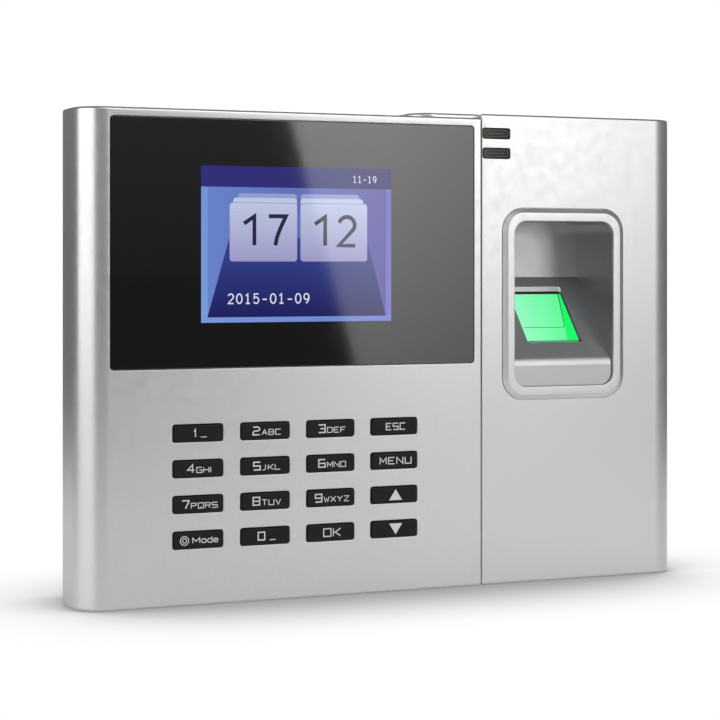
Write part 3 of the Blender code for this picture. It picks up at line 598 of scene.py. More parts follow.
def make_right_shell():
    """The reader cover: rolled at both ends, with its openings."""
    height = RIGHT_Z[1]
    shell = round_ends(prism("right_shell", right_outline(0), (0, height), "Z"))
    hollow = prism("right_hollow", right_outline(WALL), (WALL, height - WALL), "Z")
    face = RIGHT_DEPTH[0]
    seat = flared("bezel_seat", BEZEL_X, BEZEL_Z, 6.95, (face, 1.5), 0.12)
    hole = prism("well_hole", rounded(WELL_X, WELL_Z, 6.1, 0.3), (0, 6))
    cut(shell, hollow, seat, hole)
    for node in INDICATORS:
        x, _, z = span(node)
        cut(shell, flared("slot_" + node, x, z, 0.6, (face, 7.0), 0.15))
    cut(shell, make_port_cutter())
    return dress(settle(shell), "silver_paint", ("right_cover",))


def make_port_cutter():
    """The opening in the side wall round the memory stick's socket."""
    outer = RIGHT_X[1]
    depth = around(middle(USB_DEPTH), 6.1)
    up = around(middle(USB_Z), 13.5)
    levels = ((90, 0), (outer - 0.35, 0), (outer - 0.1, 0.1), (outer + 0.01, 0.35), (96, 1))
    return stack("usb_port", levels, lambda grow: rounded(depth, up, 0.5 + grow, grow), "X")


# ----------------------------------------------------------- finger reader


def bezel_ring(depth, grow, base):
    """An outline of the bezel at one depth: its flat or its foot, grown a little."""
    width, height, radius = base
    outline = round_rect(
        FINGER_X, FINGER_Z, width + 2 * grow, height + 2 * grow, radius + grow, 12
    )
    return lift(outline, depth, "Y")


def make_bezel():
    """The raised frame, with sloping sides and rounded inner and outer edges."""
    front, back = BEZEL_DEPTH
    foot = (BEZEL_X[1] - BEZEL_X[0], BEZEL_Z[1] - BEZEL_Z[0], 6.8)
    flat = (foot[0] - 2.7, foot[1] - 2.7, 5.45)
    levels = (
        (back, 0, foot), (RIGHT_DEPTH[0], 0, foot),
        (front + 0.1, 0.14, flat), (front + 0.03, 0.02, flat), (front, -0.14, flat),
        (front, 0.2, OPENING), (front + 0.04, 0.08, OPENING), (front + 0.12, 0.02, OPENING),
        (front + 0.22, 0, OPENING), (back, 0, OPENING),
    )
    bezel = skin("bezel_frame", [bezel_ring(*level) for level in levels], ringed=True)
    return dress(bezel, "silver_paint", ("finger_bezel",))


def slope_point(along, inward):
    """Depth and height of a point up the recess's floor and then into it."""
    depth = SLOPE_FOOT[0] + along * math.cos(SLOPE) + inward * math.sin(SLOPE)
    height = SLOPE_FOOT[1] + along * math.sin(SLOPE) - inward * math.cos(SLOPE)
    return depth, height


def on_slope(x, up, inward):
    """A point on the sloping floor about the sensor's middle."""
    depth, height = slope_point(SENSOR_ALONG + up, inward)
    return place(FINGER_X + x, depth, height)


def slope_prism(name, outline, inward):
    """An outline on the sloping floor given a thickness into it."""
    return skin(name, [[on_slope(u, v, level) for u, v in outline] for level in inward])


def well_air():
    """The air in the recess, seen from the side: lip, sloping floor and back."""
    lip_y = LIP_DEPTH + LIP_RADIUS
    run = (lip_y - SLOPE_FOOT[0]) * math.sin(SLOPE) - LIP_RADIUS
    lip_z = SLOPE_FOOT[1] + run / math.cos(SLOPE)
    lip = arc(lip_y, lip_z, LIP_RADIUS, 180, 90 + math.degrees(SLOPE), 16)
    back_z = SLOPE_FOOT[1] + (WELL_BACK - SLOPE_FOOT[0]) * math.tan(SLOPE)
    outline = [(-2, 50), (LIP_DEPTH, 50)] + lip
    outline += [(WELL_BACK, back_z), (WELL_BACK, 115), (-2, 115)]
    return prism("well_air", outline, around(FINGER_X, 50), "X")


def make_well():
    """The finger recess with its rounded lip, sloping floor and sensor opening."""
    well = prism("well_tray", rounded(WELL_X, WELL_Z, 5.8), (1.5, WELL_DEPTH[1]))
    width, height, radius = OPENING
    nose_outline = round_rect(FINGER_X, FINGER_Z, width - 0.4, height - 0.4, radius - 0.2)
    nose = prism("well_nose", nose_outline, (0.2, 2.5))
    air = prism("well_opening", round_rect(FINGER_X, FINGER_Z, *OPENING, 12), (-1, 22.5))
    boolean(air, "INTERSECT", [well_air()])
    hole_outline = round_rect(0, 0, SENSOR[0] + 0.5, SENSOR[1] + 0.5, 0.8)
    hole = slope_prism("sensor_hole", hole_outline, (-3, 6))
    rim = sensor_rim()
    join(well, nose)
    cut(well, air, rim, hole)
    settle(air)
    inside = around(FINGER_X, WELL_X[1] - WELL_X[0] - 3.6)
    cut(well, prism("well_under", well_under(), inside, "X"))
    return dress(settle(well), "reader_grey", ("finger_well",))


def well_under():
    """The space behind the recess's floor, seen from the side."""
    foot_y, foot_z = slope_point(0, 2.0)
    rise = math.tan(SLOPE)
    back = WELL_DEPTH[1] + 1
    front = 2.9
    return [
        (front, 50), (front, foot_z + (front - foot_y) * rise),
        (back, foot_z + (back - foot_y) * rise), (back, 50),
    ]


def sensor_rim():
    """A cutter for the sloping rim of the sensor's opening, broadest at the top."""
    half_x, half_z = SENSOR[0] / 2 + 0.25, SENSOR[1] / 2 + 0.25
    rings = []
    for inward, side, top in ((-0.6, 0.75, 2.4), (0.0, 0.45, 1.5), (0.45, 0, 0), (1.0, 0, 0)):
        across = (-half_x - side, half_x + side)
        up = (-half_z - side, half_z + top)
        rings.append([on_slope(u, v, inward) for u, v in rounded(across, up, 0.8 + side)])
    return skin("sensor_rim", rings)


def hide_glow(piece):
    """Keep a lit piece from lighting what is round it and from being mirrored there."""
    piece.visible_diffuse = False
    piece.visible_glossy = False


def sensor_layer(name, outline, step, slot="sensor_glass", material=None):
    """A thin shape on the sensor's glass."""
    ends = (SENSOR_RECESS - 0.015 * step, SENSOR_RECESS + 0.05)
    hide_glow(dress(slope_prism(name, outline, ends), slot, material=material))


def sensor_paint(name, stops, strength=0.95, roughness=0.08):
    """A lit green that runs across the sensor's width."""
    across = around(FINGER_X, SENSOR[0])
    tints = [(at, srgb(*glow_colour)) for at, glow_colour in stops]
    return glow(name, tints, "X", across, strength, roughness).material


def make_sensor_glass():
    """The lit glass block, with a soft front edge."""
    levels = (
        (4.2, 0), (SENSOR_RECESS + 0.3, 0), (SENSOR_RECESS + 0.08, -0.1), (SENSOR_RECESS, -0.3),
    )
    rings = []
    for inward, grow in levels:
        outline = round_rect(0, 0, SENSOR[0] + 2 * grow, SENSOR[1] + 2 * grow, 0.5 + grow / 2)
        rings.append([on_slope(u, v, inward) for u, v in outline])
    stops = ((0.0, (150, 255, 196)), (0.45, (122, 254, 176)), (1.0, (92, 250, 146)))
    lit = sensor_paint("sensor_glow", stops)
    hide_glow(dress(skin("sensor_window", rings), "sensor_glass", ("sensor_prism",), material=lit))


def make_sensor():
    """The green lit glass with its side facet, a fine line and black strips at its edges, the top one
    a painted shadow under the opening's upper rim.
    """
    make_sensor_glass()
    half_x, half_z = SENSOR[0] / 2, SENSOR[1] / 2
    right = half_x - 0.25
    top, low = half_z - 0.9, -half_z + 0.3
    bright = sensor_paint("sensor_facet", ((0.0, (0, 240, 92)), (1.0, (0, 255, 108))))
    facet = [(right - 0.7, top), (right - 3.9, low), (right, low), (right, top)]
    sensor_layer("sensor_facet", facet, 2, material=bright)
    dark = sensor_paint("sensor_dark", ((0, (18, 92, 48)), (1, (24, 110, 58))), 0.6, 0.12)
    edge_top, edge_low = right - 0.85, right - 3.1
    fold = -half_z * 0.42
    edge = [(edge_top, top), (edge_top + 0.3, top), (edge_low + 0.16, fold), (edge_low, fold)]
    sensor_layer("sensor_edge", edge, 3, material=dark)
    line = rectangle((-half_x + 0.3, edge_low), (-half_z * 0.455, -half_z * 0.44))
    sensor_layer("sensor_line", line, 2, material=dark)
    # Black strips on the glass: the top one is painted shadow, where the opening's upper rim shades
    # the glass; the foot and side ones cover its lower and right edges.
    shade_and_edge_strips = {
        "top": ((-half_x + 0.2, half_x - 0.2), (top, half_z - 0.15)),
        "foot": ((-half_x + 0.1, half_x), (-half_z - 0.08, -half_z + 0.16)),
        "side": ((half_x - 0.16, half_x + 0.06), (-half_z, half_z - 0.2)),
    }
    for name, spans in shade_and_edge_strips.items():
        sensor_layer("sensor_dark_strip_" + name, rectangle(*spans), 3, "tape_black")


# ---------------------------------------------------------------- lettering

# Strokes as column and row digits on a grid of four by six.
GLYPHS = {
    "0": "00 40 46 06 00",
    "1": "14 26 20",
    "2": "06 36 45 44 33 13 02 00 40",
    "3": "06 46 43|13 43 40 00",
    "4": "30 36 02 42",
    "5": "46 06 03 43 40 00",
    "6": "46 06 00 40 43 03",
    "7": "06 46 45 20",
    "8": "03 06 46 43 03 00 40 43",
    "9": "00 40 46 06 03 43",
    "A": "00 26 40|12 32",
    "B": "03 33 42 41 30 00 06 36 45 44 33",
    "C": "46 06 00 40",
    "D": "00 06 36 45 41 30 00",
    "E": "46 06 00 40|03 33",
    "F": "46 06 00|03 33",
    "G": "46 06 00 40 43 23",
    "H": "06 00|46 40|03 43",
    "I": "26 20",
    "J": "36 31 20 00",
    "K": "06 00|46 13 40|03 13",
    "L": "06 00 40",
    "M": "00 06 22 46 40",
    "N": "00 06 40 46",
    "O": "00 40 46 06 00",
    "P": "00 06 36 45 44 33 03",
    "Q": "00 40 46 06 00|22 20",
    "R": "00 06 36 45 44 33 03|23 40",
    "S": "46 06 03 43 40 00",
    "T": "06 46|26 20",
    "U": "06 00 40 46",
    "V": "06 20 46",
    "W": "06 10 24 30 46",
    "X": "00 46|06 40",
    "Y": "06 23 46|23 20",
    "Z": "06 46 00 40",
    "o": "10 30 41 43 34 14 03 01 10",
    "d": "46 40 10 01 03 14 44",
    "e": "02 42 43 34 14 03 01 10 40",
    "_": "00 40",
}
NARROW = {"I": 0.35, "1": 0.5, "J": 0.8}


def stroke_sides(points, width, ring):
    """Left and right offsets of a polyline with mitred corners."""
    left = []
    right = []
    count = len(points)
    for i, point in enumerate(points):
        here = Vector(point)
        before = Vector(points[i - 1]) if ring or i else here
        after = Vector(points[(i + 1) % count]) if ring or i < count - 1 else here
        first = (here - before).normalized() if here != before else (after - here).normalized()
        second = (after - here).normalized() if here != after else first
        normal = Vector((-first.y - second.y, first.x + second.x))
        if normal.length < 1e-6:
            normal = Vector((-first.y, first.x))
        normal.normalize()
        reach = width / 2 / max(normal.dot(Vector((-first.y, first.x))), 0.5)
        left.append(here + normal * reach)
        right.append(here - normal * reach)
    return left, right


def add_stroke(work, points, width, depths):
    """Add a polyline to a bmesh as a flat raised strip facing the viewer."""
    ring = points[0] == points[-1]
    if ring:
        points = points[:-1]
    sides = list(zip(*stroke_sides(points, width, ring)))
    front, back = (
        [[work.verts.new(place(side.x, depth, side.y)) for side in pair] for pair in sides]
        for depth in depths
    )
    count = len(points)
    for i in range(count if ring else count - 1):
        j = (i + 1) % count
        work.faces.new((front[i][0], front[j][0], front[j][1], front[i][1]))
        work.faces.new((back[i][1], back[j][1], back[j][0], back[i][0]))
        work.faces.new((front[i][0], back[i][0], back[j][0], front[j][0]))
        work.faces.new((front[i][1], front[j][1], back[j][1], back[i][1]))
    if not ring:
        for i in (0, count - 1):
            work.faces.new((front[i][0], front[i][1], back[i][1], back[i][0]))


def add_glyph(work, letter, x, z, size, stroke, depths):
    """Add one character whose lower left corner is at x, z."""
    width, height = size
    for path in GLYPHS[letter].split("|"):
        grid = [(int(pair[0]) / 4, int(pair[1]) / 6) for pair in path.split()]
        if letter in "I1":
            grid = [(u * 2 if letter == "1" else u - 0.5, v) for u, v in grid]
        inner = (width - stroke, height - stroke)
        points = [(x + stroke / 2 + u * inner[0], z + stroke / 2 + v * inner[1]) for u, v in grid]
        add_stroke(work, points, stroke, depths)


def letter_width(letter, width):
    """How wide a character is when most are width wide."""
    return width * NARROW.get(letter, 1.0)


def text_width(text, width, gap):
    """How wide a word is."""
    return sum(letter_width(letter, width) for letter in text) + gap * (len(text) - 1)


def add_text(work, text, x, z, size, stroke, gap, depths):
    """Add a word that starts at x."""
    for letter in text:
        width = letter_width(letter, size[0])
        add_glyph(work, letter, x, z, (width, size[1]), stroke, depths)
        x += width + gap


# -------------------------------------------------------------------- keys

LEGENDS = {
    "1": ("1", "_"), "2": ("2", "ABC"), "3": ("3", "DEF"),
    "4": ("4", "GHI"), "5": ("5", "JKL"), "6": ("6", "MNO"),
    "7": ("7", "PQRS"), "8": ("8", "TUV"), "9": ("9", "WXYZ"), "0": ("0", "_"),
}
# The word, its height, a letter's width and the gap between letters.
WORDS = {
    "esc": ("ESC", 2.1, 1.85, 0.33),
    "menu": ("MENU", 2.1, 2.2, 0.43),
    "ok": ("OK", 2.45, 2.5, 0.45),
}
LEGEND_SHIFT = 0.35


def make_cap(name, x, z):
    """A key cap with a slightly domed face, soft edges, and its flange and stem."""
    across, up = around(x, KEY_CAP[0]), around(z, KEY_CAP[1])
    levels = (
        (3.6, 0.0), (0.0, 0.0), (-0.2, -0.015), (-0.3, -0.06), (-0.36, -0.14),
        (-0.39, -0.26), (-0.4, -0.42),
    )
    cap = stack(name, levels, lambda grow: rounded(across, up, KEY_CORNER + grow * 0.6, grow))
    flange = block(name + "_flange", around(x, 15.3), (3.3, 4.1), around(z, 6.1), 0.5)
    stem = block(name + "_stem", around(x, 9.0), (3.8, 7.0), around(z, 3.0), 0.4)
    return gather(name, [cap, flange, stem])


def add_triangle(work, x, z, up, depths):
    """Add a solid arrow head."""
    half, tip = 2.05, (1.55 if up else -1.55)
    corners = [(x - half, z - tip), (x + half, z - tip), (x, z + tip)]
    front, back = ([work.verts.new(place(u, depth, v)) for u, v in corners] for depth in depths)
    work.faces.new(front)
    work.faces.new(back)
    for i in range(3):
        work.faces.new((front[i - 1], front[i], back[i], back[i - 1]))


def add_mode(work, x, z, depths):
    """Add a ringed dot sign and the word for the mode key."""
    centre = (x - 4.35, z - 0.1)
    for radius in (1.2, 0.58):
        ring = circle(*centre, radius, 24)
        add_stroke(work, ring + [ring[0]], 0.24, depths)
    start = x - 2.1
    add_glyph(work, "M", start, z - 0.95, (2.3, 1.65), 0.27, depths)
    for i, letter in enumerate("ode"):
        add_glyph(work, letter, start + 2.6 + i * 1.75, z - 0.95, (1.5, 1.8), 0.25, depths)


def add_digit(work, digit, letters, x, z, depths):
    """Add a digit with its letters or its space sign after it."""
    base = z - 1.2
    width = 1.1 if digit == "1" else 2.3
    letter, gap = (1.95, 1.25) if letters == "_" else (1.74, 0.42)
    between = 0.3
    left = x - (width + gap + text_width(letters, letter, between)) / 2
    drawn = 2.2 * NARROW["1"] if digit == "1" else width
    add_glyph(work, digit, left, base, (drawn, 2.5), 0.36, depths)
    add_text(work, letters, left + width + gap, base, (letter, 1.68), 0.24, between, depths)


def make_legend(name, x, z):
    """The white legend on a key."""
    depths = (-0.43, -0.37)
    work = bmesh.new()
    centre = x + LEGEND_SHIFT
    if name in LEGENDS:
        add_digit(work, *LEGENDS[name], centre, z, depths)
    elif name in WORDS:
        word, height, letter, gap = WORDS[name]
        left = centre - text_width(word, letter, gap) / 2
        add_text(work, word, left, z - height / 2, (letter, height), 0.3, gap, depths)
    elif name == "mode":
        add_mode(work, x + 0.3, z, depths)
    else:
        add_triangle(work, centre, z, name == "up", depths)
    legend = make_piece(f"legend_{name}", work)
    return dress(legend, "diffuser", body=f"key_{name}", material=WHITE_INK)


def make_keys():
    """Sixteen caps with their legends, each riding on its key."""
    for name in KEYS:
        x, z = key_place(name)
        node = f"key_{name}"
        dress(make_cap(f"cap_{name}", x, z), "key_black", (node,), body=node)
        make_legend(name, x, z)


# ----------------------------------------------------------------- display

LCD_X = (-59.8, -2.2)
LCD_Z = (77.45, 120.7)
SCREEN_DEPTH = 0.08
PIXEL_PITCH = 0.24
HEADER_FOOT = 114.9
FOOT_TOP = 78.9


def pixel_lines(lit):
    """Fine bright and dark rows over a lit surface, like a display's pixels."""
    inputs = {"Vector": lit.coordinates, "Scale": math.pi / (20 * PIXEL_PITCH * MM)}
    wave = put(lit.tree, "TexWave", inputs, bands_direction="Z")
    rows = lit.spread(wave.outputs["Fac"], 0.93, 1.06)
    source = lit.shader.inputs["Emission Color"].links[0].from_socket
    inputs = {"Factor": 1.0, 6: source, 7: rows}
    mixed = put(lit.tree, "Mix", inputs, data_type="RGBA", blend_type="MULTIPLY")
    lit.drive("Emission Color", mixed.outputs[2])
    return lit.material


def screen_paint(name, first, last, axis="Z", ends=LCD_Z):
    """A display colour that runs from one tint to another."""
    stops = [(0.0, srgb(*first)), (1.0, srgb(*last))]
    return pixel_lines(glow("screen_" + name, stops, axis, ends, 0.9, 0.05))


def tile(name, outline, level, material):
    """A flat shape in the picture, level steps in front of its background."""
    dress(prism(name, outline, screen_depths(level)), "lcd_glass", material=material)


def screen_depths(level):
    """The front and the hidden back of a shape in the picture."""
    return SCREEN_DEPTH - 0.006 * level, WINDOW_DEPTH[0] + 0.05


def make_screen():
    """The lit picture: a header, two cards with the time, a date and borders."""
    left, right = LCD_X
    foot, top = LCD_Z
    shade = [(-58.0, FOOT_TOP), (-4.0, FOOT_TOP), (-6.6, 89.1), (-9.8, 100.5), (-51.4, 101.3)]
    side_z = (foot, HEADER_FOOT)
    parts = (
        ("back", rectangle(LCD_X, LCD_Z), 0, (104, 134, 212), (88, 80, 160), "X", LCD_X),
        ("header", rectangle(LCD_X, (HEADER_FOOT, top)), 1, (38, 32, 122), (24, 20, 108), "X", LCD_X),
        ("left", rectangle((left, -57.9), side_z), 1, (122, 162, 226), (112, 150, 218), "Z", LCD_Z),
        ("right", rectangle((-3.9, right), side_z), 1, (120, 116, 206), (104, 100, 190), "Z", LCD_Z),
        ("foot", rectangle(LCD_X, (foot, FOOT_TOP)), 2, (124, 156, 224), (112, 132, 214), "X", LCD_X),
        ("shade", shade, 2, (14, 10, 92), (44, 62, 146), "Z", (FOOT_TOP, 101.0)),
    )
    for name, outline, level, *tints in parts:
        tile("screen_" + name, outline, level, screen_paint(name, *tints))
    make_cards()
    make_screen_text()


def make_cards():
    """Two fans of three cards, each with a rim round the nearest."""
    edge = screen_paint("edge", (128, 132, 190), (150, 162, 214), "Z", (94, 113))
    paper = screen_paint("paper", (160, 156, 204), (196, 206, 234), "Z", (94, 111))
    fans = (
        ("far", (-49.0, -31.35), (-30.2, -12.2), (96.0, 113.2), 3, edge),
        ("mid", (-50.4, -31.35), (-30.2, -11.0), (95.2, 112.0), 5, paper),
        ("rim", (-51.5, -31.25), (-30.3, -9.7), (94.3, 110.7), 6, edge),
        ("near", (-51.4, -31.35), (-30.2, -9.8), (94.4, 110.5), 7, paper),
    )
    for name, left, right, z, level, paint in fans:
        for side, x in (("left", left), ("right", right)):
            tile(f"card_{name}_{side}", rounded(x, z, 0.9, 0, 6), level, paint)


def oval(cx, cy, rx, ry, start, stop, steps=14):
    """Points on an oval in a character's unit square."""
    return [(cx + rx * u, cy + ry * v) for u, v in arc(0, 0, 1, start, stop, steps)]


# Strokes in a character's unit square.
SCREEN_GLYPHS = {
    "0": [oval(0.5, 0.5, 0.5, 0.5, 0, 360, 20)],
    "1": [[(0.12, 0.8), (0.5, 1.0), (0.5, 0.0)], [(0.12, 0.0), (0.88, 0.0)]],
    "i": [[(0.0, 0.74), (0.6, 0.99), (0.6, 0.0)]],
    "2": [oval(0.5, 0.72, 0.47, 0.28, 165, -38) + [(0.02, 0.0), (1.0, 0.0)]],
    "5": [[(0.9, 1.0), (0.15, 1.0), (0.08, 0.52)] + oval(0.45, 0.33, 0.5, 0.33, 115, -150)],
    "7": [[(0.0, 1.0), (1.0, 1.0), (0.68, 0.6), (0.48, 0.28), (0.38, 0.0)]],
    "9": [oval(0.5, 0.68, 0.46, 0.32, 0, 360, 18), oval(0.3, 0.6, 0.66, 0.6, 10, -80)],
    "-": [[(0.1, 0.42), (0.9, 0.42)]],
}


def add_screen_word(work, text, x, z, size, stroke, pitch, depths):
    """Add characters at an even pitch, as a display draws them."""
    width, height = size
    for number, letter in enumerate(text):
        left = x + number * pitch + stroke / 2
        for path in SCREEN_GLYPHS[letter]:
            points = [
                (left + u * (width - stroke), z + stroke / 2 + v * (height - stroke))
                for u, v in path
            ]
            closed = (Vector(points[0]) - Vector(points[-1])).length < 1e-4
            if closed:
                points[-1] = points[0]
            add_stroke(work, points, stroke, depths)


def screen_text(name, words, material):
    """Characters in the picture, from (text, x, z, size, stroke, pitch) entries."""
    work = bmesh.new()
    for word in words:
        add_screen_word(work, *word, screen_depths(9))
    dress(make_piece(name, work), "lcd_glass", material=material)


def make_screen_text():
    """The hour, the minutes, a small date in the header and a full one below."""
    dark = screen_paint("ink_left", (22, 22, 62), (26, 26, 66))
    grey = screen_paint("ink_right", (44, 44, 62), (48, 48, 66))
    white = screen_paint("ink_white", (226, 230, 244), (232, 236, 248))
    clock = (98.25, (6.3, 9.25), 1.15, 0)
    screen_text("screen_hour", [("i", -47.8, *clock), ("7", -40.4, *clock)], dark)
    screen_text("screen_minute", [("i", -26.4, *clock), ("2", -19.2, *clock)], grey)
    date = ("2015-01-09", -52.1, 82.5, (1.95, 3.0), 0.36, 2.52)
    short = ("11-19", -14.2, 116.6, (1.2, 2.0), 0.22, 1.55)
    screen_text("screen_date", [date, short], white)


def make_window():
    """The glossy black window."""
    front, back = WINDOW_DEPTH
    levels = ((back, 0), (front + 0.16, 0), (front + 0.05, -0.05), (front, -0.16))
    window = stack(
        "front_window", levels, lambda grow: rounded(WINDOW_X, WINDOW_Z, 1 + grow, grow)
    )
    dress(window, "window_black", ("display_window", "lcd_panel"))


# -------------------------------------------------------------- indicators


def make_indicators():
    """Smoked light windows with a fine outline and a dotted middle line, their grey painted as a glow
    that is lighter at the left and darker at the right.
    """
    # Painted light: the unlit windows glow, light at the left fading to dark at the right, in place
    # of the light and shade that fall on them.
    stops = [(0.0, srgb(104, 98, 88)), (0.5, srgb(62, 58, 54)), (1.0, srgb(34, 32, 32))]
    for node in INDICATORS:
        x, (front, back), z = span(node)
        levels = ((back, 0), (front + 0.18, 0), (front + 0.05, -0.06), (front, -0.2))
        lens = stack(
            node.replace("pipe", "lens"), levels,
            lambda grow: rounded(x, z, 0.5 + grow / 2, grow),
        )
        glow_colour = glow("painted_glow_" + node, stops, "X", x, 0.3, 0.2, Specular_IOR_Level=0.12)
        dress(lens, "smoked_plastic", (node,), material=glow_colour.material)
        make_indicator_marks(node, x, front, z)


def make_indicator_marks(node, x, face, z):
    """The pale outline and dashes on an indicator's surface."""
    depths = (face - 0.015, face + 0.05)
    work = bmesh.new()
    outline = rounded((x[0] + 0.75, x[1] - 0.75), (z[0] + 0.5, z[1] - 0.5), 0.45, 0, 5)
    add_stroke(work, outline + [outline[0]], 0.08, depths)
    length = (x[1] - x[0]) * 0.6
    dashes = 9
    for i in range(dashes):
        start = middle(x) - length / 2 + i * length / dashes
        add_stroke(work, [(start, middle(z)), (start + length / 15, middle(z))], 0.2, depths)
    dress(make_piece(node.replace("pipe", "marks"), work), "diffuser", material=PALE_LINE)


# --------------------------------------------------------------- rear side


REAR_FRONT = (93.4, 135.6)
REAR_BACK = (84.0, 128.5)
POCKET_DEPTH = 32.4
LOCK_X = -8
HOOK_X = (-40, 40)
TONGUE_X = (-14, -2)


def rear_outline(depth, grow=0.0):
    """The rear shell's outline at a depth, tapering to the back."""
    low, high = REAR_DEPTH
    share = (depth - low) / (high - low)
    half, top = (a + (b - a) * share + grow for a, b in zip(REAR_FRONT, REAR_BACK))
    return rectangle((-half, half), (max(-grow, 0), top))


def rear_cutters():
    """The openings of the rear cover."""
    past = REAR_DEPTH[1] + 2
    cutters = [
        block("plate_pocket", (-52, 52), (POCKET_DEPTH, past), (66, 126), 2.0),
        block("cable_bay", (-18, 40), (20.9, past), (-1, 40)),
        block("tongue_channel", (-16, 0), (33.9, past), (38, 67)),
        block("network_opening", (5.7, 22.3), (18.6, 32.6), (39.4, 43)),
        block("power_opening", (25.7, 35.3), (18.6, 30.2), (39.4, 43)),
        turned("lock_hole", [(1.7, 0), (1.7, 8)], (LOCK_X, 28, 38), "Z", 32),
        turned("tamper_hole", [(1.8, 0), (1.8, 8)], (-30, POCKET_DEPTH - 5, 110), "Y", 32),
    ]
    for offset in (-8, -4, 0, 4, 8):
        cutters.append(block("grille", around(-55, 16), (31, past), around(30 + offset, 1.6), 0.75))
    for x in HOOK_X:
        cutters.append(block("hook_slot", around(x, 9), (28.4, past), (100, 105.8), 0.6))
    return cutters


def case_turned(name, profile, depth):
    """A turned shape about each case screw."""
    places = [span(node) for node in CASE_SCREWS]
    return [turned(name, profile, (middle(x), depth, middle(z)), "Y", 32) for x, _, z in places]


def make_back_shell():
    """The tapering rear shell: plate pocket, cable bay, grille, posts and seats."""
    low, high = REAR_DEPTH
    rings = [lift(rear_outline(depth), depth, "Y") for depth in (low, high)]
    shell = soften(skin("back_shell", rings), 1.2, 4)
    inner = [lift(rear_outline(depth, -WALL), depth, "Y") for depth in (low - 1, high - WALL)]
    cut(shell, skin("rear_hollow", inner))
    join(
        shell,
        block("pocket_seat", (-54.2, 54.2), (30.2, high - 1), (63.8, 128.2)),
        block("channel_seat", (-18.2, 2.2), (30.2, high - 1), (40.5, 66)),
        block("bay_shell", (-20, 42), (18.9, high - 1), (0.6, 42)),
        *case_turned("post", [(4.3, 0), (4.3, 17)], 16.9),
    )
    bore = [(1.7, -1), (1.7, 11), (3.3, 11), (3.3, 18.7), (3.6, 19.1), (3.6, 21.5)]
    cut(shell, *rear_cutters(), *case_turned("bore", bore, 16))
    dress(settle(shell), "rear_plastic", ("rear_cover",))


def make_hook_plate():
    """The zinc plated plate with its windows, hooks and locking tongue."""
    front, back = 34.4, PLATE_DEPTH[1]
    foot = 36.9
    plate = prism("hook_plate", round_rect(0, 96, 100, 56, 4, 10), (front, back))
    for x in HOOK_X:
        cut(plate, block("hook_window", around(x, 9), (33, 37), (106.4, 111.4), 0.5))
    hole = [(2.25, 0), (2.25, 1.9), (2.9, 2.9), (2.9, 5)]
    for x, z in ((-30, 76), (30, 76), (-30, 117), (30, 117)):
        cut(plate, turned("plate_hole", hole, (x, 33, z)))
    join(plate, block("tongue_drop", TONGUE_X, (front + 0.05, back - 0.05), (foot, 70)))
    join(plate, block("tongue_flange", TONGUE_X, (24, back - 0.05), (foot, foot + 1.5)))
    for x in HOOK_X:
        join(plate, block("hook_arm", around(x, 8), (28.2, front + 1), (104, 105.5)))
        join(plate, block("hook_tip", around(x, 8), (28.2, 29.7), (104.5, 109)))
    cut(plate, turned("tongue_hole", [(1.75, 0), (1.75, 4)], (LOCK_X, 28, foot - 1), "Z"))
    soften(plate, 0.12, 2)
    dress(settle(plate), "plate_steel", ("wall_plate",))


def screw_profile(length, radius, head, shaft):
    """A pan head's and a ridged shaft's radii and heights."""
    pitch = 0.8
    profile = [(radius * 0.7, 0), (radius * 0.9, 0.12), (radius, 0.4), (radius, head), (shaft, head)]
    for i in range(int((length - head - 0.5) / pitch)):
        base = head + 0.1 + i * pitch
        profile += [(shaft, base), (shaft * 0.82, base + 0.3), (shaft * 0.82, base + 0.4)]
    return profile + [(shaft * 0.8, length - 0.3), (shaft * 0.3, length)]


def make_screw(node, along, side, radius, head, shaft):
    """A pan head screw with a cross recess, its head at the high end for side 1."""
    x, depth, z = span(node)
    ends = depth if along == "Y" else z
    start = ends[1] if side > 0 else ends[0]
    hub = (middle(x), middle(z)) if along == "Y" else (middle(x), middle(depth))
    centre = (hub[0], start, hub[1]) if along == "Y" else (*hub, start)
    profile = screw_profile(ends[1] - ends[0], radius, head, shaft)
    screw = turned("fix_" + node, [(r, -side * h) for r, h in profile], centre, along, 32)
    levels = sorted((start - side, start + side * 2))
    for size in ((radius * 1.1, 0.5), (0.5, radius * 1.1)):
        slot = rectangle(around(hub[0], size[0]), around(hub[1], size[1]))
        cut(screw, prism("recess", slot, levels, along))
    dress(settle(screw), "zinc_steel", (node,))


def make_screws():
    """The four case screws and the lock screw."""
    for node in CASE_SCREWS:
        make_screw(node, "Y", 1, 2.8, 2.2, 1.45)
    make_screw("lock_screw", "Z", -1, 2.7, 1.7, 1.45)


# ----------------------------------------------------------------- sockets


def make_network_socket():
    """The network jack: shielded shell, stepped opening and eight contacts."""
    x, depth, z = span("ethernet_jack")
    front, low = depth[0], z[0]
    body = soften(prism("network_socket", rectangle(x, depth), z, "Z"), 0.25, 2)
    steps = (("mouth", 12.0, 2.2, 11.0, 14), ("key", 6.0, 10.6, 12.4, 10.5))
    for name, width, near, far, height in steps:
        outline = rectangle(around(middle(x), width), (front + near, front + far))
        cut(body, prism("socket_" + name, outline, (low - 1, low + height), "Z"))
    dress(settle(body), "jack_steel", ("ethernet_jack",))
    near = front + 2.2
    side = [
        (near, low + 11), (near, low + 1.5), (near + 0.4, low + 1.5),
        (near + 2.8, low + 9.5), (near + 2.5, low + 11),
    ]
    first, pitch = middle(x) - 3.57, 1.02
    pins = [prism("pin", side, around(first + pitch * i, 0.42), "X") for i in range(8)]
    dress(gather("network_contacts", pins), "jack_steel", material=GOLD)


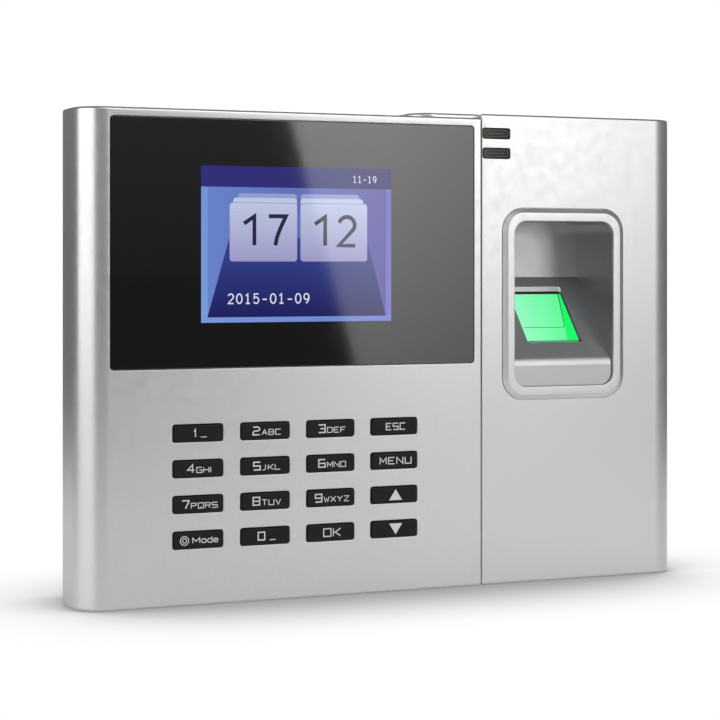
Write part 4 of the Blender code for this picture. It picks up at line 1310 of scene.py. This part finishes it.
def make_power_socket():
    """The round power jack with its centre pin."""
    x, depth, z = span("dc_jack")
    centre = (middle(x), middle(depth), z[0])
    body = soften(prism("power_socket", rectangle(x, depth), z, "Z"), 0.3, 2)
    bore = [(3.6, -1), (3.3, 0.3), (3.2, 0.6), (3.2, 9)]
    cut(body, turned("power_bore", bore, centre, "Z"))
    dress(settle(body), "black_plastic", ("dc_jack",))
    pin = [(0.6, 0.8), (0.95, 1.2), (1.0, 1.6), (1.0, 9)]
    dress(turned("power_pin", pin, centre, "Z", 24), "jack_steel", material=GOLD)


def make_usb_socket():
    """The folded steel shell of the memory stick's socket."""
    low, high = USB_X
    shell = prism("usb_can", rounded(USB_DEPTH, USB_Z, 0.7), USB_X, "X")
    cut(shell, prism("usb_room", rounded(USB_DEPTH, USB_Z, 0.5, -0.4), (low + 0.6, high + 1), "X"))
    through = (USB_DEPTH[0] - 1, USB_DEPTH[1] + 1)
    for offset in (-3.2, 3.2):
        up = around(middle(USB_Z) + offset, 1.8)
        cut(shell, block("usb_tab", (high - 7.5, high - 3.5), through, up, 0.2))
    dress(settle(shell), "jack_steel", ("usb_shell",))


def make_plunger():
    """The tamper switch's plunger, with a domed end."""
    node = "tamper_plunger"
    x, (front, back), z = span(node)
    radius = (x[1] - x[0]) / 2
    dome = arc(0, back - radius * 0.6, radius, 0, 90, 7)
    profile = [(radius, front)]
    profile += [(r, dome[0][1] + (h - dome[0][1]) * 0.6) for r, h in dome]
    button = turned("tamper_button", profile, (middle(x), 0, middle(z)), "Y", 32)
    dress(button, "diffuser", (node,), body=node)


def dress_cad_nodes():
    """Give the CAD nodes that stay their materials."""
    for slot, nodes in CAD_SLOTS.items():
        for node in nodes:
            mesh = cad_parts[node].data
            mesh.materials.clear()
            mesh.materials.append(MATERIALS[slot])


# ------------------------------------------------------------------- stage

WORLD_UP = ((-1, 0.02), (-0.05, 0.04), (0.08, 0.28), (0.2, 0.26), (0.5, 0.14), (1, 0.14))
WORLD_BACK = ((-1, 1.0), (-0.3, 1.0), (0.4, 0.6), (1, 0.6))
FLOOR_BOUNCE = 0.8
FLOOR_FAR_BOUNCE = 0.08
FLOOR_FADE = (0.25, 0.7)
SHADOW_REACH = 0.075
SHADOW_OPEN = (0.42, 0.97)
SHADOW_DARK = 0.34
KEY_SIZE = (0.85, 1.4)
KEY_PLACE = (0.702, -1.0, 0.6)
KEY_TURN = -16
KEY_RISE = (0.0, 0.22)
KEY_LOW_HIGH = (2.0, 4.1)
KEY_ACROSS = (0.45, 0.8)
KEY_RIGHT = 0.25
# A name, a place, what it is aimed at, a size and a radiance.
LIGHTS = (
    ("strip", (-1.15, -0.3, 0.3), (-0.08, 0, 0.08), (1.6, 1.0), 2.1),
    ("fill", (0.0, -1.2, 1.0), (0, 0, 0.08), (1.2, 0.7), 1.3),
    ("rear", (0.6, 1.3, 0.6), (0, 0, 0.07), (0.9, 0.8), 3.0),
)
CAMERA_PLACE = (-0.2608, -0.5688, 0.09335)
CAMERA_TURN = -24.3
CAMERA_LENS = 106.55
CAMERA_RISE = -0.132


def mix_shaders(tree, factor, first, second):
    """Mix two shaders."""
    return put(tree, "MixShader", {"Fac": factor, 1: first, 2: second}).outputs["Shader"]


def calculate(tree, operation, first, second):
    """Combine two values."""
    return put(tree, "Math", {0: first, 1: second}, operation=operation).outputs["Value"]


def bare_material(name):
    """A material with no nodes, and its node tree."""
    material = bpy.data.materials.new(name)
    material.use_nodes = True
    material.node_tree.nodes.clear()
    return material, material.node_tree


def make_sheet(name, half, material):
    """A flat square piece of the stage."""
    work = bmesh.new()
    bmesh.ops.create_grid(work, x_segments=1, y_segments=1, size=half)
    sheet = make_piece(name, work)
    sheet.data.materials.append(material)
    return sheet


def make_floor():
    """A white floor with a soft contact shadow, which throws a little light back up."""
    material, tree = bare_material("floor")
    matt = put(tree, "BsdfDiffuse", {"Color": (FLOOR_BOUNCE, FLOOR_BOUNCE, FLOOR_BOUNCE, 1)})
    far = put(tree, "Emission", {"Strength": FLOOR_FAR_BOUNCE})
    where = put(tree, "TexCoord").outputs["Object"]
    distance = put(tree, "VectorMath", {0: where}, operation="LENGTH").outputs["Value"]
    fade = remap(tree, distance, FLOOR_FADE, (0, 1), "SMOOTHSTEP")
    bounce = mix_shaders(tree, fade, matt.outputs["BSDF"], far.outputs["Emission"])
    corner = put(tree, "AmbientOcclusion", {"Distance": SHADOW_REACH}, samples=24).outputs["AO"]
    shadow = remap(tree, corner, SHADOW_OPEN, (SHADOW_DARK, 1), "SMOOTHSTEP")
    seen = put(tree, "Emission", {"Strength": calculate(tree, "MAXIMUM", shadow, fade)})
    camera_ray = put(tree, "LightPath").outputs["Is Camera Ray"]
    surface = mix_shaders(tree, camera_ray, bounce, seen.outputs["Emission"])
    put(tree, "OutputMaterial", {"Surface": surface})
    make_sheet("floor", 14, material).location.z = -0.0002


def direction_ramp(tree, axis, levels):
    """A brightness that runs along one axis of the direction."""
    direction = put(tree, "TexCoord").outputs["Generated"]
    split = put(tree, "SeparateXYZ", {"Vector": direction})
    share = remap(tree, split.outputs[axis], (-1, 1), (0, 1))
    curve = put(tree, "FloatCurve", {"Value": share})
    points = curve.mapping.curves[0].points
    while len(points) < len(levels):
        points.new(0.5, 0.5)
    for point, (position, level) in zip(points, levels):
        point.location = ((position + 1) / 2, level)
        point.handle_type = "VECTOR"
    curve.mapping.update()
    return curve.outputs["Value"]


def make_world():
    """White behind everything, and as light a dim grey, darker low down and behind."""
    world = bpy.data.worlds.new("studio")
    bpy.context.scene.world = world
    world.use_nodes = True
    tree = world.node_tree
    seen = tree.nodes["Background"]
    seen.inputs["Color"].default_value = (1, 1, 1, 1)
    seen.inputs["Strength"].default_value = 1.0
    up = direction_ramp(tree, "Z", WORLD_UP)
    back = direction_ramp(tree, "Y", WORLD_BACK)
    strength = calculate(tree, "MULTIPLY", up, back)
    lit = put(tree, "Background", {"Color": (1, 1, 1, 1), "Strength": strength})
    camera_ray = put(tree, "LightPath").outputs["Is Camera Ray"]
    mix = mix_shaders(tree, camera_ray, lit.outputs["Background"], seen.outputs["Background"])
    tree.links.new(mix, tree.nodes["World Output"].inputs["Surface"])


def soft_light(name, location, target, size, radiance):
    """A rectangular light of a given radiance that the camera doesn't see."""
    data = bpy.data.lights.new(name, "AREA")
    data.shape = "RECTANGLE"
    data.size, data.size_y = size
    data.energy = radiance * size[0] * size[1] * math.pi
    lamp = bpy.data.objects.new(name, data)
    lamp.location = location
    aim = Vector(target) - Vector(location)
    lamp.rotation_euler = aim.to_track_quat("-Z", "Y").to_euler()
    lamp.visible_camera = False
    bpy.context.scene.collection.objects.link(lamp)
    return lamp


def make_key_card():
    """A large glowing card on the right, brighter at its top, which the window mirrors."""
    material, tree = bare_material("key_card")
    where = put(tree, "NewGeometry").outputs["Position"]
    split = put(tree, "SeparateXYZ", {"Vector": where})
    rise = remap(tree, split.outputs["Z"], KEY_RISE, KEY_LOW_HIGH)
    across = remap(tree, split.outputs["X"], KEY_ACROSS, (1, KEY_RIGHT))
    light = put(tree, "Emission", {"Strength": calculate(tree, "MULTIPLY", rise, across)})
    put(tree, "OutputMaterial", {"Surface": light.outputs["Emission"]})
    card = make_sheet("key_card", 0.5, material)
    card.scale = (*KEY_SIZE, 1)
    card.location = KEY_PLACE
    card.rotation_euler = (math.radians(90), math.radians(KEY_TURN), 0)
    card.visible_camera = False


def make_lights():
    """The key card, a strip for the rolled edge, a fill, a rear light and the floor's own."""
    make_key_card()
    for light in LIGHTS:
        soft_light(*light)
    overhead = soft_light("floor_light", (0, -0.1, 1.4), (0, -0.1, 0), (2.2, 2.2), 1.3)
    receivers = bpy.data.collections.new("floor_light_receivers")
    receivers.objects.link(bpy.data.objects["floor"])
    overhead.light_linking.receiver_collection = receivers


def make_camera():
    """The camera at the viewing angle."""
    data = bpy.data.cameras.new("camera")
    data.lens = CAMERA_LENS
    data.sensor_width = 36
    data.shift_y = CAMERA_RISE
    data.clip_start = 0.01
    camera = bpy.data.objects.new("camera", data)
    camera.location = CAMERA_PLACE
    camera.rotation_euler = (math.radians(90), 0, math.radians(CAMERA_TURN))
    bpy.context.scene.collection.objects.link(camera)
    bpy.context.scene.camera = camera


def build():
    """Build every piece, then the stage."""
    bpy.context.scene.view_settings.view_transform = "Standard"
    steps = (
        make_left_shell, make_right_shell, make_bezel, make_well, make_sensor, make_window,
        make_screen, make_keys, make_indicators, make_back_shell, make_hook_plate, make_screws,
        make_network_socket, make_power_socket, make_usb_socket, make_plunger, dress_cad_nodes,
        make_floor, make_world, make_lights, make_camera,
    )
    for step in steps:
        step()


build()
